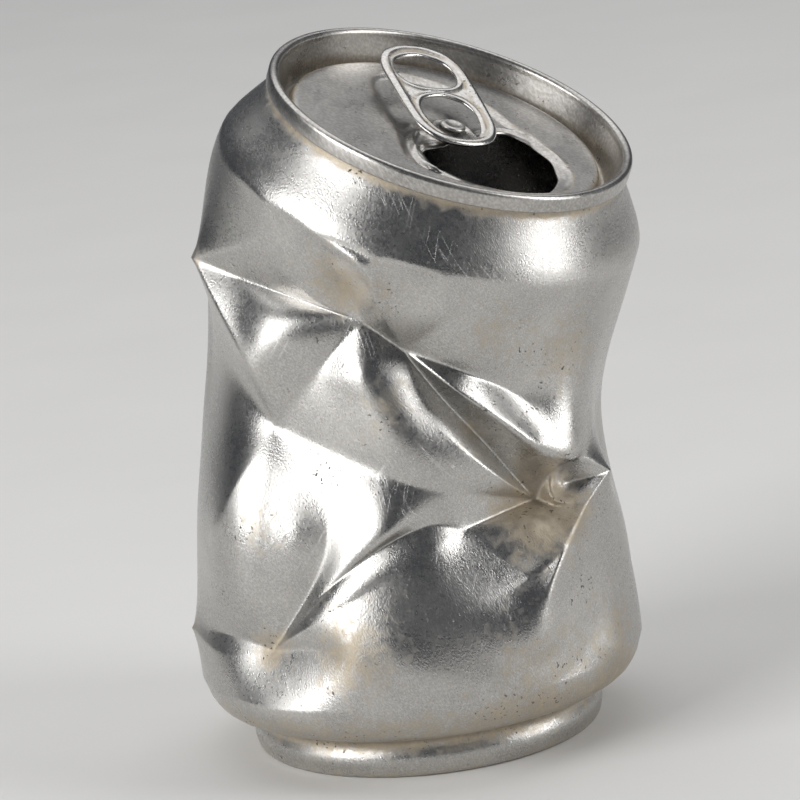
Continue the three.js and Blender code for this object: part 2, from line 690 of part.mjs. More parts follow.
// ---------------------------------------------------------------- the tab

const TAB_HEM = 0.95;           // thickness of the tab's rolled edge
const NOSE = 5.8;               // nose of the tab from the rivet
const TAB_HEIGHT = -3.42;       // underside of the nose below the rim
const ISLAND_HEIGHT = -3.3;     // underside of the riveted tongue below the rim

// Half outline of the tab along its own length: distance from the rivet towards the finger
// end, and half width.
const tabOutline = [[-NOSE, 0], [-NOSE + 0.5, 2.9], [-3.9, 5], [-1.2, 6.4], [2.5, 6.8], [9, 6.9],
  [13.4, 6.7], [16.7, 5.3], [TAB_LENGTH - NOSE - 0.4, 2.7], [TAB_LENGTH - NOSE, 0]];
const fingerHole = [[8.2, 0], [8.5, 2.6], [10, 4.4], [12.4, 4.8], [15, 3.6], [16.2, 0]];
const rivetHole = [[-3.7, 2.1], [-1.7, 3.6], [1, 4.3], [3.5, 4.1], [5.4, 2.8], [6.2, 0]];

function smoothLoop(half, closedBelow) {
  const mirror = half.filter(([, w]) => w > 0).map(([u, w]) => [u, -w]).reverse();
  const loop = closedBelow ? [...half, ...mirror] : [...half, ...mirror, [-4.1, 0]];
  const curve = new THREE.CatmullRomCurve3(loop.map(([u, w]) => new THREE.Vector3(u, w, 0)), true);
  return curve.getPoints(closedBelow ? 36 : 24).slice(0, -1).reverse().map(p => new THREE.Vector2(p.x, p.y));
}

function tabPlate() {
  const bevel = 0.32;
  const shape = new THREE.Shape(smoothLoop(tabOutline.map(([u, w]) => [u * 0.98, w * 0.96]), true));
  shape.holes.push(new THREE.Path(smoothLoop(fingerHole, true)), new THREE.Path(smoothLoop(rivetHole, false)));
  return new THREE.ExtrudeGeometry(shape, {
    depth: TAB_HEM - 2 * bevel,
    bevelThickness: bevel,
    bevelSize: bevel,
    bevelOffset: -bevel / 2,
    bevelSegments: 2,
  }).translate(0, 0, bevel);
}

// The tongue that the rivet holds, flat on the panel and joined to the frame at the nose.
function tongue() {
  const shape = new THREE.Shape();
  shape.moveTo(-4.9, -2.4);
  shape.lineTo(-1, -2.9);
  shape.absarc(0, 0, 2.9, -Math.PI / 2, Math.PI / 2);
  shape.lineTo(-4.9, 2.4);
  shape.closePath();
  const hole = new THREE.Path();
  hole.absarc(0, 0, RIVET_RADIUS + 0.2, 0, 2 * Math.PI, true);
  shape.holes.push(hole);
  return new THREE.ExtrudeGeometry(shape, { depth: TAB_SHEET, bevelEnabled: false, curveSegments: 12 });
}

function pullTab() {
  const lift = new THREE.Matrix4().makeRotationY(rad(-TAB_LIFT));
  const raised = lift.setPosition(0, 0, TAB_HEIGHT + NOSE * Math.sin(rad(TAB_LIFT)));
  const frame = withNormals(tabPlate().applyMatrix4(raised));
  const flat = withNormals(tongue().translate(0, 0, ISLAND_HEIGHT));
  const joined = fromManifold(toManifold(frame).add(toManifold(flat)));
  const turn = new THREE.Matrix4().makeRotationZ(rad(90 + TAB_TURN));
  const place = new THREE.Matrix4().makeBasis(endFrame.right, endFrame.back, endFrame.axis);
  place.setPosition(onEnd(...RIVET, 0));
  return joined.applyMatrix4(turn).applyMatrix4(place);
}

// ---------------------------------------------------------------- the sealing compound

function seamGasket() {
  const section = [
    [26.24, -0.54], [26.26, -0.42], [26.36, -0.34], [26.5, -0.34], [26.6, -0.42], [26.64, -0.54],
  ];
  const rings = ringsAlong([...section, section[0]], endFrame, columns);
  return geometryFrom(flipped(strips(rings)));
}

// ---------------------------------------------------------------- the can

const aluminium = (color, roughness) => new THREE.MeshStandardMaterial({ color, roughness, metalness: 1 });

function piece(name, geometry, material) {
  const mesh = new THREE.Mesh(geometry, material);
  mesh.name = name;
  return mesh;
}

const group = new THREE.Group();
group.add(
  piece('can_body', canBody(), aluminium(0xb9b6b1, 0.34)),
  piece('can_end', canEnd(), aluminium(0xb3afa8, 0.3)),
  piece('pull_tab', pullTab(), aluminium(0xc4c1bb, 0.25)),
  piece('seam_gasket', seamGasket(), new THREE.MeshStandardMaterial({ color: 0x6d6a60, roughness: 0.8 })),
);

// The origin is under the middle of the whole can, on the floor.
const middle = new THREE.Box3().setFromObject(group, true).getCenter(new THREE.Vector3());
group.position.set(-middle.x, -middle.y, 0);

export default group;
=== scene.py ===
# %% [markdown]
# # A crushed drink can
# An empty drink can is four pieces of very thin metal and a little rubber: a drawn body, a
# stamped end seamed onto it, a folded pull tab on the end's rivet, and the sealing compound
# inside the seam. Somebody has opened this one, turned its tab aside, and stepped on it.
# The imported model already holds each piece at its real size. Here the pieces get the shapes
# and surfaces that are too fine for it: the folds, the beads, the rolled edges and the dirt.

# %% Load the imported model
import json
import math

import bpy
import numpy as np
from mathutils import Matrix, Vector
from mathutils.geometry import delaunay_2d_cdt

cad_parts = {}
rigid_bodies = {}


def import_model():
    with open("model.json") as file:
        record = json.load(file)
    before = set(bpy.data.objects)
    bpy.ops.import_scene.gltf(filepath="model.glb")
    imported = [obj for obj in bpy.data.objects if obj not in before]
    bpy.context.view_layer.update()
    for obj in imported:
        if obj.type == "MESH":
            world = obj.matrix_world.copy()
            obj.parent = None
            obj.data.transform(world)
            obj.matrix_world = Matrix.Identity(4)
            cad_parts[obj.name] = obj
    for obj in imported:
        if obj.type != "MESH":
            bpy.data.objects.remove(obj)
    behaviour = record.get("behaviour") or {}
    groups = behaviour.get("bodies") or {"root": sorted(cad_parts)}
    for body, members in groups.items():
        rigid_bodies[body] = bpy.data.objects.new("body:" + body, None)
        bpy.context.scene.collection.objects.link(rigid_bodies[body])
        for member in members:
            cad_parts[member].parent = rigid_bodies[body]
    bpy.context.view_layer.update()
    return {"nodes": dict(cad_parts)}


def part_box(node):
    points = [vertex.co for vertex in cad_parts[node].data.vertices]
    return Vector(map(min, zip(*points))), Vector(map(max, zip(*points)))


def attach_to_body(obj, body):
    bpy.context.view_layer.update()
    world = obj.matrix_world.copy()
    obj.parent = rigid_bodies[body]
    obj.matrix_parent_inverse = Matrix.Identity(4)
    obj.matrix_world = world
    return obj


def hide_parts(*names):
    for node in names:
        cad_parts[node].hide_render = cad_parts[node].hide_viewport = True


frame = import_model()

# %% [markdown]
# ## Driving dimensions
# Cans are drawn in millimetres, so this script works in millimetres too and turns them into
# metres when it makes a mesh. Almost everything about a can is round about one of two axes:
# the upright axis of its base, and the leaning axis of its end.

# %% Driving dimensions, in millimetres
MM = 0.001
BODY_SHEET = 0.2            # thickness of each sheet
END_SHEET = 0.24
WALL_RADIUS = 32.7          # body where the crushed wall begins
WALL_START = 12.0           # height of that ring above the floor
SHOULDER_RADIUS = 31.5      # body where the crushed wall meets the neck
SHOULDER_DEPTH = 12.2       # shoulder ring below the rim, along the end's axis
END_CENTRE = np.array([12.75, -1.04, 91.65])        # middle of the rim
END_LEAN = np.array([0.347, -0.231])                # rightward and backward part of its unit axis
PANEL_RADIUS = 22.3         # flat panel of the end
PANEL_DEPTH = 3.7           # panel below the rim
RIVET = np.array([0.8, 0.3])            # how far right and back of the end's middle
UP = np.array([0.0, 0.0, 1.0])


def unit(v):
    return np.asarray(v, float) / np.linalg.norm(v)


def frame_at(origin, axis):
    """A set of directions about an axis: right, back and along the axis."""
    right = unit(np.array([1.0, 0, 0]) - axis[0] * axis)
    return {"origin": np.asarray(origin, float), "axis": axis, "right": right, "back": np.cross(axis, right)}


def around(where, angle, radius, height=0.0):
    """Points about a frame's axis. The angle is from the front, in radians, to the right."""
    angle, radius, height = np.broadcast_arrays(angle, radius, height)
    return (where["origin"]
            + (radius * np.sin(angle))[..., None] * where["right"]
            - (radius * np.cos(angle))[..., None] * where["back"]
            + height[..., None] * where["axis"])


end_axis = np.array([*END_LEAN, math.sqrt(1 - END_LEAN @ END_LEAN)])
end_frame = frame_at(END_CENTRE, end_axis)
base_frame = frame_at([0, 0, 0], UP)

gasket_ring = np.concatenate([around(end_frame, np.radians(np.arange(360)), r, h)
                              for r, h in ((26.24, -0.54), (26.36, -0.34), (26.5, -0.34), (26.64, -0.54))])
gasket_low, gasket_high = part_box("seam_gasket")
SHIFT = np.array(gasket_low + gasket_high) / 2 - MM * (gasket_ring.min(0) + gasket_ring.max(0)) / 2
print("design origin in the packed frame, mm", (SHIFT / MM).round(3))

# %% [markdown]
# ## The folds of the wall
# Thin sheet that is crushed hardly stretches. It stays in flat or gently rolled facets, joined
# by straight folds, and the folds meet in sharp tips where the metal is pinched. So the wall
# is described the way a paper model would be: by the points where folds meet or bend, and by
# the folds between them. Each point has an angle about the can's bent centre line, a height
# from the base ring (0) to the shoulder (1), and a distance from that line.

# %% Centre line
line_start = np.array([0, 0, WALL_START])
line_end = END_CENTRE - SHOULDER_DEPTH * end_axis
line_handle = np.linalg.norm(line_end - line_start) / 3
line_controls = [line_start, line_start + line_handle * UP, line_end - line_handle * end_axis, line_end]


def wall_frame(height):
    """Frame on the centre line, which bends from the base's axis (0) over to the end's axis (1)."""
    weights = [(1 - height) ** 3, 3 * height * (1 - height) ** 2, 3 * height ** 2 * (1 - height), height ** 3]
    origin = sum(w * c for w, c in zip(weights, line_controls))
    return frame_at(origin, unit(UP * (1 - height) + end_axis * height))


print("centre line from", line_start.round(1), "to", line_end.round(1))

# %% Fold points
FOLD_POINTS = {
    # ridge from the upper left peak to the long diagonal fold
    "left_peak": (-80, 0.79, 33.2), "ridge_left": (-66, 0.796, 28.3), "ridge_mid": (-43, 0.813, 26.3),
    "upper_pinch": (-20, 0.818, 25.8), "mid_pinch": (-5.5, 0.774, 25.3),
    # facets between that ridge and the shoulder
    "brow_left": (-57, 0.9, 30), "brow_mid": (-40, 0.863, 28.4), "fold_top": (-30, 0.93, 28.9),
    "fold_upper": (-25, 0.875, 26.6), "bulge_low": (-16, 0.925, 31.2), "bulge_top": (-22, 0.97, 31.8),
    "bulge_mid": (-12.5, 0.865, 29.4),
    "dark_top": (-7, 0.925, 30), "dark_right": (4, 0.9, 30.8), "right_brow": (17, 0.87, 30.6),
    "right_brow_far": (43.5, 0.815, 31), "right_edge": (88, 0.75, 30.6), "right_low": (66, 0.67, 29.2),
    # rolled ridge across the right front, and the hollow above it
    "hollow_a": (15, 0.755, 29.2), "hollow_b": (34, 0.685, 29.4),
    "roll_a": (10.5, 0.727, 31), "roll_b": (24.5, 0.648, 32), "roll_c": (35, 0.577, 32.2),
    "roll_d": (46, 0.58, 33), "lip_low": (44, 0.482, 28.4), "lip_mid": (47, 0.521, 30.6),
    "lip_high": (52, 0.525, 32.2), "tuck_a": (48.5, 0.458, 28.8), "tuck_b": (55, 0.469, 31.5),
    "right_peak": (61, 0.48, 33.3), "notch": (86, 0.5, 27.7),
    # deep valley under the roll
    "valley_a": (8.5, 0.678, 26), "valley_b": (21, 0.591, 25.9), "valley_c": (33, 0.496, 26),
    "edge_a": (2.5, 0.667, 27.6), "edge_b": (14, 0.58, 28.6), "edge_c": (28, 0.491, 28),
    "right_pinch": (42.5, 0.42, 26.3),
    # diamond between the two diagonal folds
    "diamond_top": (-15.5, 0.725, 29.2), "diamond_mid": (-8, 0.665, 29.5), "diamond_low": (1.5, 0.588, 29.6),
    "hollow_left": (-31, 0.685, 27), "left_pinch": (-46.5, 0.539, 26.3),
    # bulged facet at the upper left, and the tuck under it
    "facet_left": (-43, 0.76, 30), "facet_edge": (-54, 0.683, 31), "facet_tip": (-48, 0.618, 29),
    "tuck_left": (-76, 0.61, 27.4), "waist_left": (-97, 0.61, 28.2),
    # left side of the lower half
    "crease_left": (-53, 0.43, 31.4), "crease_low": (-65, 0.285, 32.4), "waist_low": (-95, 0.427, 29.6),
    "flank_low": (-92, 0.25, 31.5), "lower_peak": (-86, 0.089, 33.5), "lower_left": (-52, 0.2, 31.4),
    "lens_left": (-44, 0.36, 31.6), "lens_mid": (-34, 0.35, 30), "lens_right": (-24, 0.38, 28.7),
    "lower_pinch": (-47, 0.104, 29), "fold_side_up": (-66, 0.115, 31), "fold_side_low": (-64, 0.08, 32),
    # large bright facet and the double fold under it
    "facet_top": (-8, 0.503, 28.3), "facet_right": (14, 0.47, 27.9), "facet_low": (-7, 0.39, 30.6),
    "fold_a": (-20, 0.29, 29.9), "fold_b": (2, 0.394, 28.4), "fold_pinch": (14, 0.382, 27.8),
    "ridge_a": (-29, 0.184, 30.6), "ridge_b": (-14, 0.259, 31), "ridge_c": (2.5, 0.345, 30.6),
    "belly_left": (-13, 0.143, 32.5), "belly_mid": (7.5, 0.226, 31.9), "dimple": (-21, 0.12, 31.9),
    # right side of the lower half
    "shade_a": (26, 0.316, 30.4), "shade_b": (31.5, 0.26, 31.2), "tan_mid": (34, 0.405, 30),
    "tan_right": (43, 0.43, 30.8), "brow_ridge_a": (50, 0.425, 33), "brow_ridge_b": (40.5, 0.342, 33.6),
    "brow_ridge_c": (32.5, 0.22, 33.8), "flank_right_a": (66, 0.33, 32), "flank_right_b": (58, 0.16, 32.2),
    "edge_right_a": (84, 0.34, 31), "edge_right_b": (82, 0.18, 32.2), "belly_low": (28, 0.07, 33),
    "belly_front": (2, 0.09, 33), "belly_right": (60, 0.05, 33),
    # the back: flatter facets in three tiers
    "back_peak_a": (-112, 0.84, 32.6), "back_pinch_a": (-140, 0.78, 27), "back_peak_b": (-168, 0.83, 32.8),
    "back_pinch_b": (164, 0.72, 27.4), "back_peak_c": (138, 0.8, 32.4), "back_pinch_c": (112, 0.73, 28),
    "back_waist_a": (-122, 0.55, 31.6), "back_deep_a": (-150, 0.52, 31.8), "back_deep_b": (-178, 0.5, 26.6),
    "back_mid_a": (152, 0.5, 31.8), "back_mid_b": (128, 0.47, 27.4), "back_mid_c": (106, 0.5, 30.6),
    "back_low_a": (-118, 0.27, 32.6), "back_low_b": (-142, 0.24, 28.4), "back_low_c": (-166, 0.28, 32.6),
    "back_low_d": (168, 0.24, 29), "back_low_e": (142, 0.22, 32.8), "back_low_f": (112, 0.24, 31.8),
    "back_foot_a": (-112, 0.1, 33), "back_foot_b": (-142, 0.08, 32.9), "back_foot_c": (180, 0.09, 33),
    "back_foot_d": (146, 0.07, 33), "back_foot_e": (112, 0.08, 33),
}
print(len(FOLD_POINTS), "fold points")

# %% [markdown]
# ## The folds between the points
# Some folds of a crushed can are creased hard from end to end, and others are soft bends that
# fade out into the sheet. So each fold says how many rounds of smoothing it stays sharp for,
# and the few tips where the metal is pinched to a point are listed beside them.

# %% Folds
# Points where folds meet in a sharp tip.
PINCHES = ("left_peak", "upper_pinch", "mid_pinch", "left_pinch", "right_pinch", "right_peak",
           "fold_pinch", "lower_pinch", "lower_peak", "back_pinch_a", "back_pinch_b", "back_deep_b",
           "back_mid_b")

# Folds: how many subdivisions each one stays sharp for, and the points it runs through.
FOLD_LINES = (
    (4, "left_peak", "ridge_left", "ridge_mid", "upper_pinch"),
    (5, "top-36", "fold_top", "fold_upper", "upper_pinch", "mid_pinch"),
    (4, "mid_pinch", "valley_a", "valley_b", "valley_c", "right_pinch"),
    (4, "mid_pinch", "edge_a", "edge_b", "edge_c", "right_pinch"),
    (2, "mid_pinch", "roll_a", "roll_b", "roll_c"),
    (4, "mid_pinch", "hollow_a", "hollow_b"),
    (4, "right_pinch", "lip_low", "lip_mid", "lip_high", "right_peak"),
    (4, "right_peak", "tuck_b", "tuck_a"),
    (3, "left_peak", "facet_edge", "facet_tip", "left_pinch"),
    (4, "upper_pinch", "hollow_left", "left_pinch"),
    (3, "left_peak", "brow_left", "top-54"),
    (4, "top-18", "bulge_low", "bulge_mid", "mid_pinch"),
    (4, "top0", "dark_right", "mid_pinch"),
    (3, "left_pinch", "lens_left", "lower_pinch"),
    (3, "left_pinch", "lens_right", "lower_pinch"),
    (3, "left_pinch", "facet_top", "facet_right", "right_pinch"),
    (3, "left_pinch", "crease_left", "crease_low"),
    (4, "fold_pinch", "ridge_c", "ridge_b", "ridge_a", "lower_pinch"),
    (4, "right_pinch", "fold_pinch"),
    (4, "fold_pinch", "fold_b", "fold_a", "lower_pinch"),
    (4, "fold_pinch", "shade_a", "shade_b"),
    (4, "right_peak", "brow_ridge_a", "brow_ridge_b", "brow_ridge_c"),
    (2, "brow_ridge_c", "belly_low"),
    (4, "lower_peak", "fold_side_low", "lower_pinch"),
    (4, "lower_peak", "fold_side_up", "lower_pinch"),
    (3, "lower_pinch", "dimple"),
    (2, "upper_pinch", "brow_mid"),
    (4, "back_peak_a", "back_pinch_a", "back_peak_b", "back_pinch_b", "back_peak_c", "back_pinch_c"),
    (4, "back_waist_a", "back_deep_a", "back_deep_b", "back_mid_a", "back_mid_b", "back_mid_c"),
    (3, "back_pinch_a", "back_waist_a"),
    (3, "back_pinch_a", "back_deep_a"),
    (4, "back_pinch_b", "back_deep_b"),
    (3, "back_pinch_b", "back_mid_b", "back_pinch_c"),
    (3, "back_deep_b", "back_low_b"),
    (3, "back_deep_b", "back_low_d", "back_mid_b"),
    (3, "back_low_a", "back_low_b", "back_low_c"),
)
RING_POINTS = 20              # points round the base ring and round the shoulder
print(len(FOLD_LINES), "folds and", len(PINCHES), "sharp tips")

# %% [markdown]
# ## From fold points to a coarse net
# Unrolled, the wall is a flat strip. Blender's own constrained Delaunay triangulation joins
# the points on that strip into well-shaped triangles and keeps every fold as an edge. The
# strip is repeated a turn to each side, so that the net closes on itself round the can.

# %% Triangulate the unrolled wall
TURN = 2 * math.pi * WALL_RADIUS      # length of the strip
TALL = 72.0                           # width of the strip


def gather_points():
    """Names and places of the fold points, with those of the base ring and the shoulder."""
    table = {}
    for i in range(RING_POINTS):
        angle = round(-180 + i * 360 / RING_POINTS)
        table[f"base{angle}"] = (angle, 0.0, WALL_RADIUS)
        table[f"top{angle}"] = (angle, 1.0, SHOULDER_RADIUS)
    table.update(FOLD_POINTS)
    return list(table), np.array([table[name] for name in table], float)


def fold_edges(names):
    """For each pair of points with a fold between them, how many rounds the fold stays sharp."""
    edges = {}
    for sharpness, *line in FOLD_LINES:
        for a, b in zip(line, line[1:]):
            edges[(names.index(a), names.index(b))] = sharpness
    return edges


def triangulate(table, edges):
    """Triangles between the points, without those of the repeated turns."""
    count = len(table)
    copies = [[Vector(((angle / 360 + turn) * TURN, height * TALL)) for angle, height, _ in table]
              for turn in (-1, 0, 1)]
    points = [p for copy in copies for p in copy]
    fixed = []
    for a, b in edges:
        wrap = round((table[a][0] - table[b][0]) / 360)
        for copy in range(3):
            if 0 <= copy + wrap < 3:
                fixed.append((copy * count + a, (copy + wrap) * count + b))
    found = delaunay_2d_cdt(points, fixed, [], 0, 1e-6)
    corners, triangles, origins = found[0], found[2], found[3]
    kept = []
    for triangle in triangles:
        middle = sum(corners[k].x for k in triangle) / 3 / TURN
        if -0.5 <= middle < 0.5:
            kept.append([origins[k][0] % count for k in triangle])
    return np.array(kept)


names, table = gather_points()
folds = fold_edges(names)
net = triangulate(table, folds)
print(len(table), "points,", len(net), "triangles in the net")

# %% [markdown]
# ## From the coarse net to sheet metal
# Loop subdivision turns a net of triangles into a smooth sheet. A fold is kept by treating
# its edges as a border for the first few rounds, and as ordinary sheet after that, so it ends
# up crisp but with a small radius, as bent metal has. Blender's Subdivision Surface is made
# for four-sided faces and ripples on triangles, so the few rules of Loop's scheme are written
# out here with numpy.

# %% Edges and neighbours
def edges_of(triangles, count):
    """Unique edges of a net, the triangles' corners across them, and how many faces meet there."""
    ends = np.sort(np.concatenate([triangles[:, [0, 1]], triangles[:, [1, 2]], triangles[:, [2, 0]]]), axis=1)
    across = np.concatenate([triangles[:, 2], triangles[:, 0], triangles[:, 1]])
    keys, which = np.unique(ends[:, 0] * count + ends[:, 1], return_inverse=True)
    return {"key": keys, "u": keys // count, "v": keys % count, "which": which, "across": across,
            "faces": np.bincount(which)}


def spread(values, edges, mask, count):
    """For each vertex, the sum of its neighbours along the masked edges, and their number."""
    total = np.zeros((count, values.shape[1]))
    number = np.zeros(count)
    for here, there in ((edges["u"][mask], edges["v"][mask]), (edges["v"][mask], edges["u"][mask])):
        np.add.at(total, here, values[there])
        np.add.at(number, here, 1)
    return total, number[:, None]

# %% [markdown]
# ## One round of subdivision
# In a round every triangle becomes four. Each old corner is drawn towards its neighbours, and
# each new one is a blend of the two ends of its edge and the two corners across it. On a fold
# or a border only the ends count, so the sheet isn't smoothed across it.

# %% Loop subdivision with folds
def loop_share(n):
    """How much each of a vertex's n neighbours counts in one round."""
    k = 3 / 8 + np.cos(2 * math.pi / n) / 4
    return (5 / 8 - k * k) / n


def limit_share(n):
    """How much each of a vertex's n neighbours counts in where it ends after endless rounds."""
    return 1 / (n + 3 / (8 * loop_share(n)))


def moved(sheet, edges, crease_share, smooth_share):
    """The sheet's vertices, drawn towards their neighbours. Pinches and meetings of folds stay put."""
    values = sheet["values"]
    count = len(values)
    sharp = (edges["faces"] == 1) | (sheet["sharp"] > 0)
    near, n = spread(values, edges, np.ones(len(sharp), bool), count)
    along, m = spread(values, edges, sharp, count)
    share = smooth_share(np.maximum(n, 3))
    smooth = values * (1 - n * share) + near * share
    crease = values * (1 - 2 * crease_share) + along * crease_share
    fixed = sheet["pinch"][:, None] | (m > 2)
    return np.where(fixed, values, np.where(m == 2, crease, smooth))


def subdivide(sheet):
    """One round: each triangle becomes four, and each fold loses one round of its sharpness."""
    values, triangles = sheet["values"], sheet["triangles"]
    count = len(values)
    edges = edges_of(triangles, count)
    straight = ((edges["faces"] == 1) | (sheet["sharp"] > 0))[:, None]
    ends = values[edges["u"]] + values[edges["v"]]
    across = np.zeros_like(ends)
    np.add.at(across, edges["which"], values[edges["across"]])
    middles = np.where(straight, ends / 2, ends * 3 / 8 + across / 8)
    a, b, c = triangles.T
    ab, bc, ca = edges["which"].reshape(3, -1) + count
    finer = np.concatenate([np.stack(t, 1) for t in ((a, ab, ca), (ab, b, bc), (ca, bc, c), (ab, bc, ca))])
    together = np.concatenate([moved(sheet, edges, 1 / 8, loop_share), middles])
    size = len(together)
    next_edges = edges_of(finer, size)
    sharpness = np.zeros(len(next_edges["key"]))
    middle = count + np.arange(len(edges["key"]))
    for end in (edges["u"], edges["v"]):
        place = np.searchsorted(next_edges["key"], end * size + middle)
        sharpness[place] = np.maximum(sheet["sharp"] - 1, 0)
    pinch = np.concatenate([sheet["pinch"], np.zeros(len(middles), bool)])
    return {"values": together, "triangles": finer, "sharp": sharpness, "pinch": pinch}


def limit(sheet):
    """Where the vertices would end after endless rounds."""
    return moved(sheet, edges_of(sheet["triangles"], len(sheet["values"])), 1 / 6, limit_share)

# %% [markdown]
# ## The folded wall
# Smoothing pulls a net in from its own points, as a smooth curve cuts corners. So the points
# are first pushed out until the finished sheet would pass close by the chosen ones, and only
# then is the net refined.

# %% Folded wall
WALL_ROUNDS = 4
FITTING_ROUNDS = 3
FITTING_SHARE = 0.8


def folded_wall():
    """The net, first fitted so that the finished sheet passes by its points, and then refined."""
    values = []
    for angle, height, radius in table:
        where = wall_frame(height)
        values.append([*around(where, math.radians(angle), radius), *where["origin"], height])
    values = np.array(values)
    edges = edges_of(net, len(values))
    sharp = np.zeros(len(edges["key"]))
    for (a, b), sharpness in folds.items():
        place = np.searchsorted(edges["key"], min(a, b) * len(values) + max(a, b))
        sharp[place] = sharpness
    sheet = {"values": values.copy(), "triangles": net, "sharp": sharp, "pinch": np.isin(names, PINCHES)}
    for _ in range(FITTING_ROUNDS):
        sheet["values"] += FITTING_SHARE * (values - limit(sheet))
    for _ in range(WALL_ROUNDS):
        sheet = subdivide(sheet)
    sheet["values"] = limit(sheet)
    return sheet


wall = folded_wall()
print(len(wall["triangles"]), "triangles in the folded wall")

# %% [markdown]
# ## Turning points into meshes
# Round parts are lathed: a profile of radius and height is repeated at every column round
# the axis. The profile's few given points are joined by a Catmull-Rom curve, which
# passes through all of them, so each stays a dimension that can be measured.

# %% Smooth curves
def catmull_rom(a, b, c, d, t):
    """From b at t = 0 to c at t = 1, heading as its neighbours a and d say."""
    return (2 * b + (c - a) * t + (2 * a - 5 * b + 4 * c - d) * t ** 2 + (3 * b - a - 3 * c + d) * t ** 3) / 2


def smooth_profile(points, steps):
    """An open curve through the points."""
    p = np.asarray(points, float)
    p = np.concatenate([[2 * p[0] - p[1]], p, [2 * p[-1] - p[-2]]])
    t = np.linspace(0, 1, steps, endpoint=False)[:, None]
    spans = [catmull_rom(*four, t) for four in zip(p, p[1:], p[2:], p[3:])]
    return np.concatenate([*spans, p[-2:-1]])


def smooth_loop(points, steps):
    """A closed curve through the points."""
    p = np.asarray(points, float)
    t = np.linspace(0, 1, steps, endpoint=False)[:, None]
    return np.concatenate([catmull_rom(*four, t) for four in zip(np.roll(p, 1, 0), p, np.roll(p, -1, 0),
                                                                np.roll(p, -2, 0))])


def arc(centre, radius, start, stop, steps):
    """Points on part of a circle, from one angle to another in degrees."""
    angle = np.radians(np.linspace(start, stop, steps + 1))
    return np.stack([centre[0] + radius * np.cos(angle), centre[1] + radius * np.sin(angle)], 1)

# %% Rings and meshes
def lathe(profile, where, columns):
    """A ring of points about a frame's axis for each radius and height of the profile."""
    profile = np.asarray(profile, float)
    return around(where, columns[None, :], profile[:, :1], profile[:, 1:])


def ring_faces(rows, columns, upward=True):
    """Quads between rings of points that follow one another in a list of vertices."""
    faces = []
    for row in range(rows - 1):
        for i in range(columns):
            j = (i + 1) % columns
            low, high = row * columns, (row + 1) * columns
            quad = (low + i, low + j, high + j, high + i)
            faces.append(quad if upward else quad[::-1])
    return faces


def band(distance, middle, width, amount):
    """The amount at the middle distance, fading away beyond the width on both sides."""
    return amount * np.exp(-((distance - middle) / width) ** 2)


def make_mesh(name, points, faces, grime=None):
    """A smooth mesh in metres from points in millimetres. Grime is how dirty each point is."""
    mesh = bpy.data.meshes.new(name)
    mesh.from_pydata((np.asarray(points) * MM + SHIFT).tolist(), [], faces)
    mesh.polygons.foreach_set("use_smooth", [True] * len(mesh.polygons))
    mesh.attributes.new("grime", "FLOAT", "POINT").data.foreach_set(
        "value", np.zeros(len(points)) if grime is None else np.clip(grime, 0, 1))
    piece = bpy.data.objects.new(name, mesh)
    bpy.context.scene.collection.objects.link(piece)
    return piece

# %% [markdown]
# ## Giving a sheet its thickness
# A stamped piece is one sheet, nearly even in thickness, so each is modelled as its outer
# surface alone. Solidify then adds the inner surface and the edges. The inside of the body is
# hardly seen, so Decimate may leave fewer triangles there.

# %% Thickness
def apply_modifiers(piece):
    with bpy.context.temp_override(object=piece):
        for modifier in list(piece.modifiers):
            bpy.ops.object.modifier_apply(modifier=modifier.name)


def thicken(piece, thickness, lining_share=1.0):
    """Gives an open sheet its metal, on the inside of its faces. The hidden lining may be coarser."""
    piece.vertex_groups.new(name="lining")
    solid = piece.modifiers.new("metal", "SOLIDIFY")
    solid.thickness = thickness * MM
    solid.offset = -1
    solid.shell_vertex_group = "lining"
    if lining_share < 1:
        coarser = piece.modifiers.new("coarser lining", "DECIMATE")
        coarser.vertex_group = "lining"
        coarser.ratio = (1 + lining_share) / 2
    apply_modifiers(piece)


def triangles_in(piece):
    return sum(len(polygon.vertices) - 2 for polygon in piece.data.polygons)

# %% [markdown]
# ## The drawn body
# The body starts as a flat disc, is drawn into a cup, ironed thin, domed underneath and
# necked in at the top, all in one sheet. Below the crushed wall it runs in to the narrow
# stand ring and up into the dome; above it runs in along the neck to the seam. The sheet is
# modelled once, on its outside, and Solidify then gives it its thickness.

# %% Body sheet
BASE_PROFILE = [(31.9, 9.6), (30.9, 8), (29.3, 6.9), (27, 6.1), (25.7, 5.5), (25.35, 4.6), (25.8, 3.4),
                (25.9, 2.1), (25.6, 0.7), (24.9, 0), (23.4, 0), (22.7, 1.3), (21.9, 3.3), (20.6, 4.7)]
DOME_RADII = (17, 12, 7, 3)
DOME_HEIGHT = 9.6             # middle of the dome above the floor
DOME_DROP = 4.9               # from there down to its edge
LINING_SHARE = 0.35           # triangles of the unseen inside for each one outside
NECK_PROFILE = [(31.35, -11.6), (30.5, -9.9), (29.1, -7.7), (27.8, -5.7), (26.9, -4.2), (26.4, -3.3),
                (26.3, -2.5), (26.3, -1.1)]


def border_ring(sheet, where):
    """Border vertices within a millimetre of a frame's plane, in order of angle."""
    edges = edges_of(sheet["triangles"], len(sheet["values"]))
    border = np.unique(np.concatenate([edges[end][edges["faces"] == 1] for end in "uv"]))
    offset = sheet["values"][border, :3] - where["origin"]
    border = border[np.abs(offset @ where["axis"]) < 1]
    offset = sheet["values"][border, :3] - where["origin"]
    angle = np.arctan2(offset @ where["right"], -(offset @ where["back"]))
    order = np.argsort(angle)
    return border[order], angle[order]


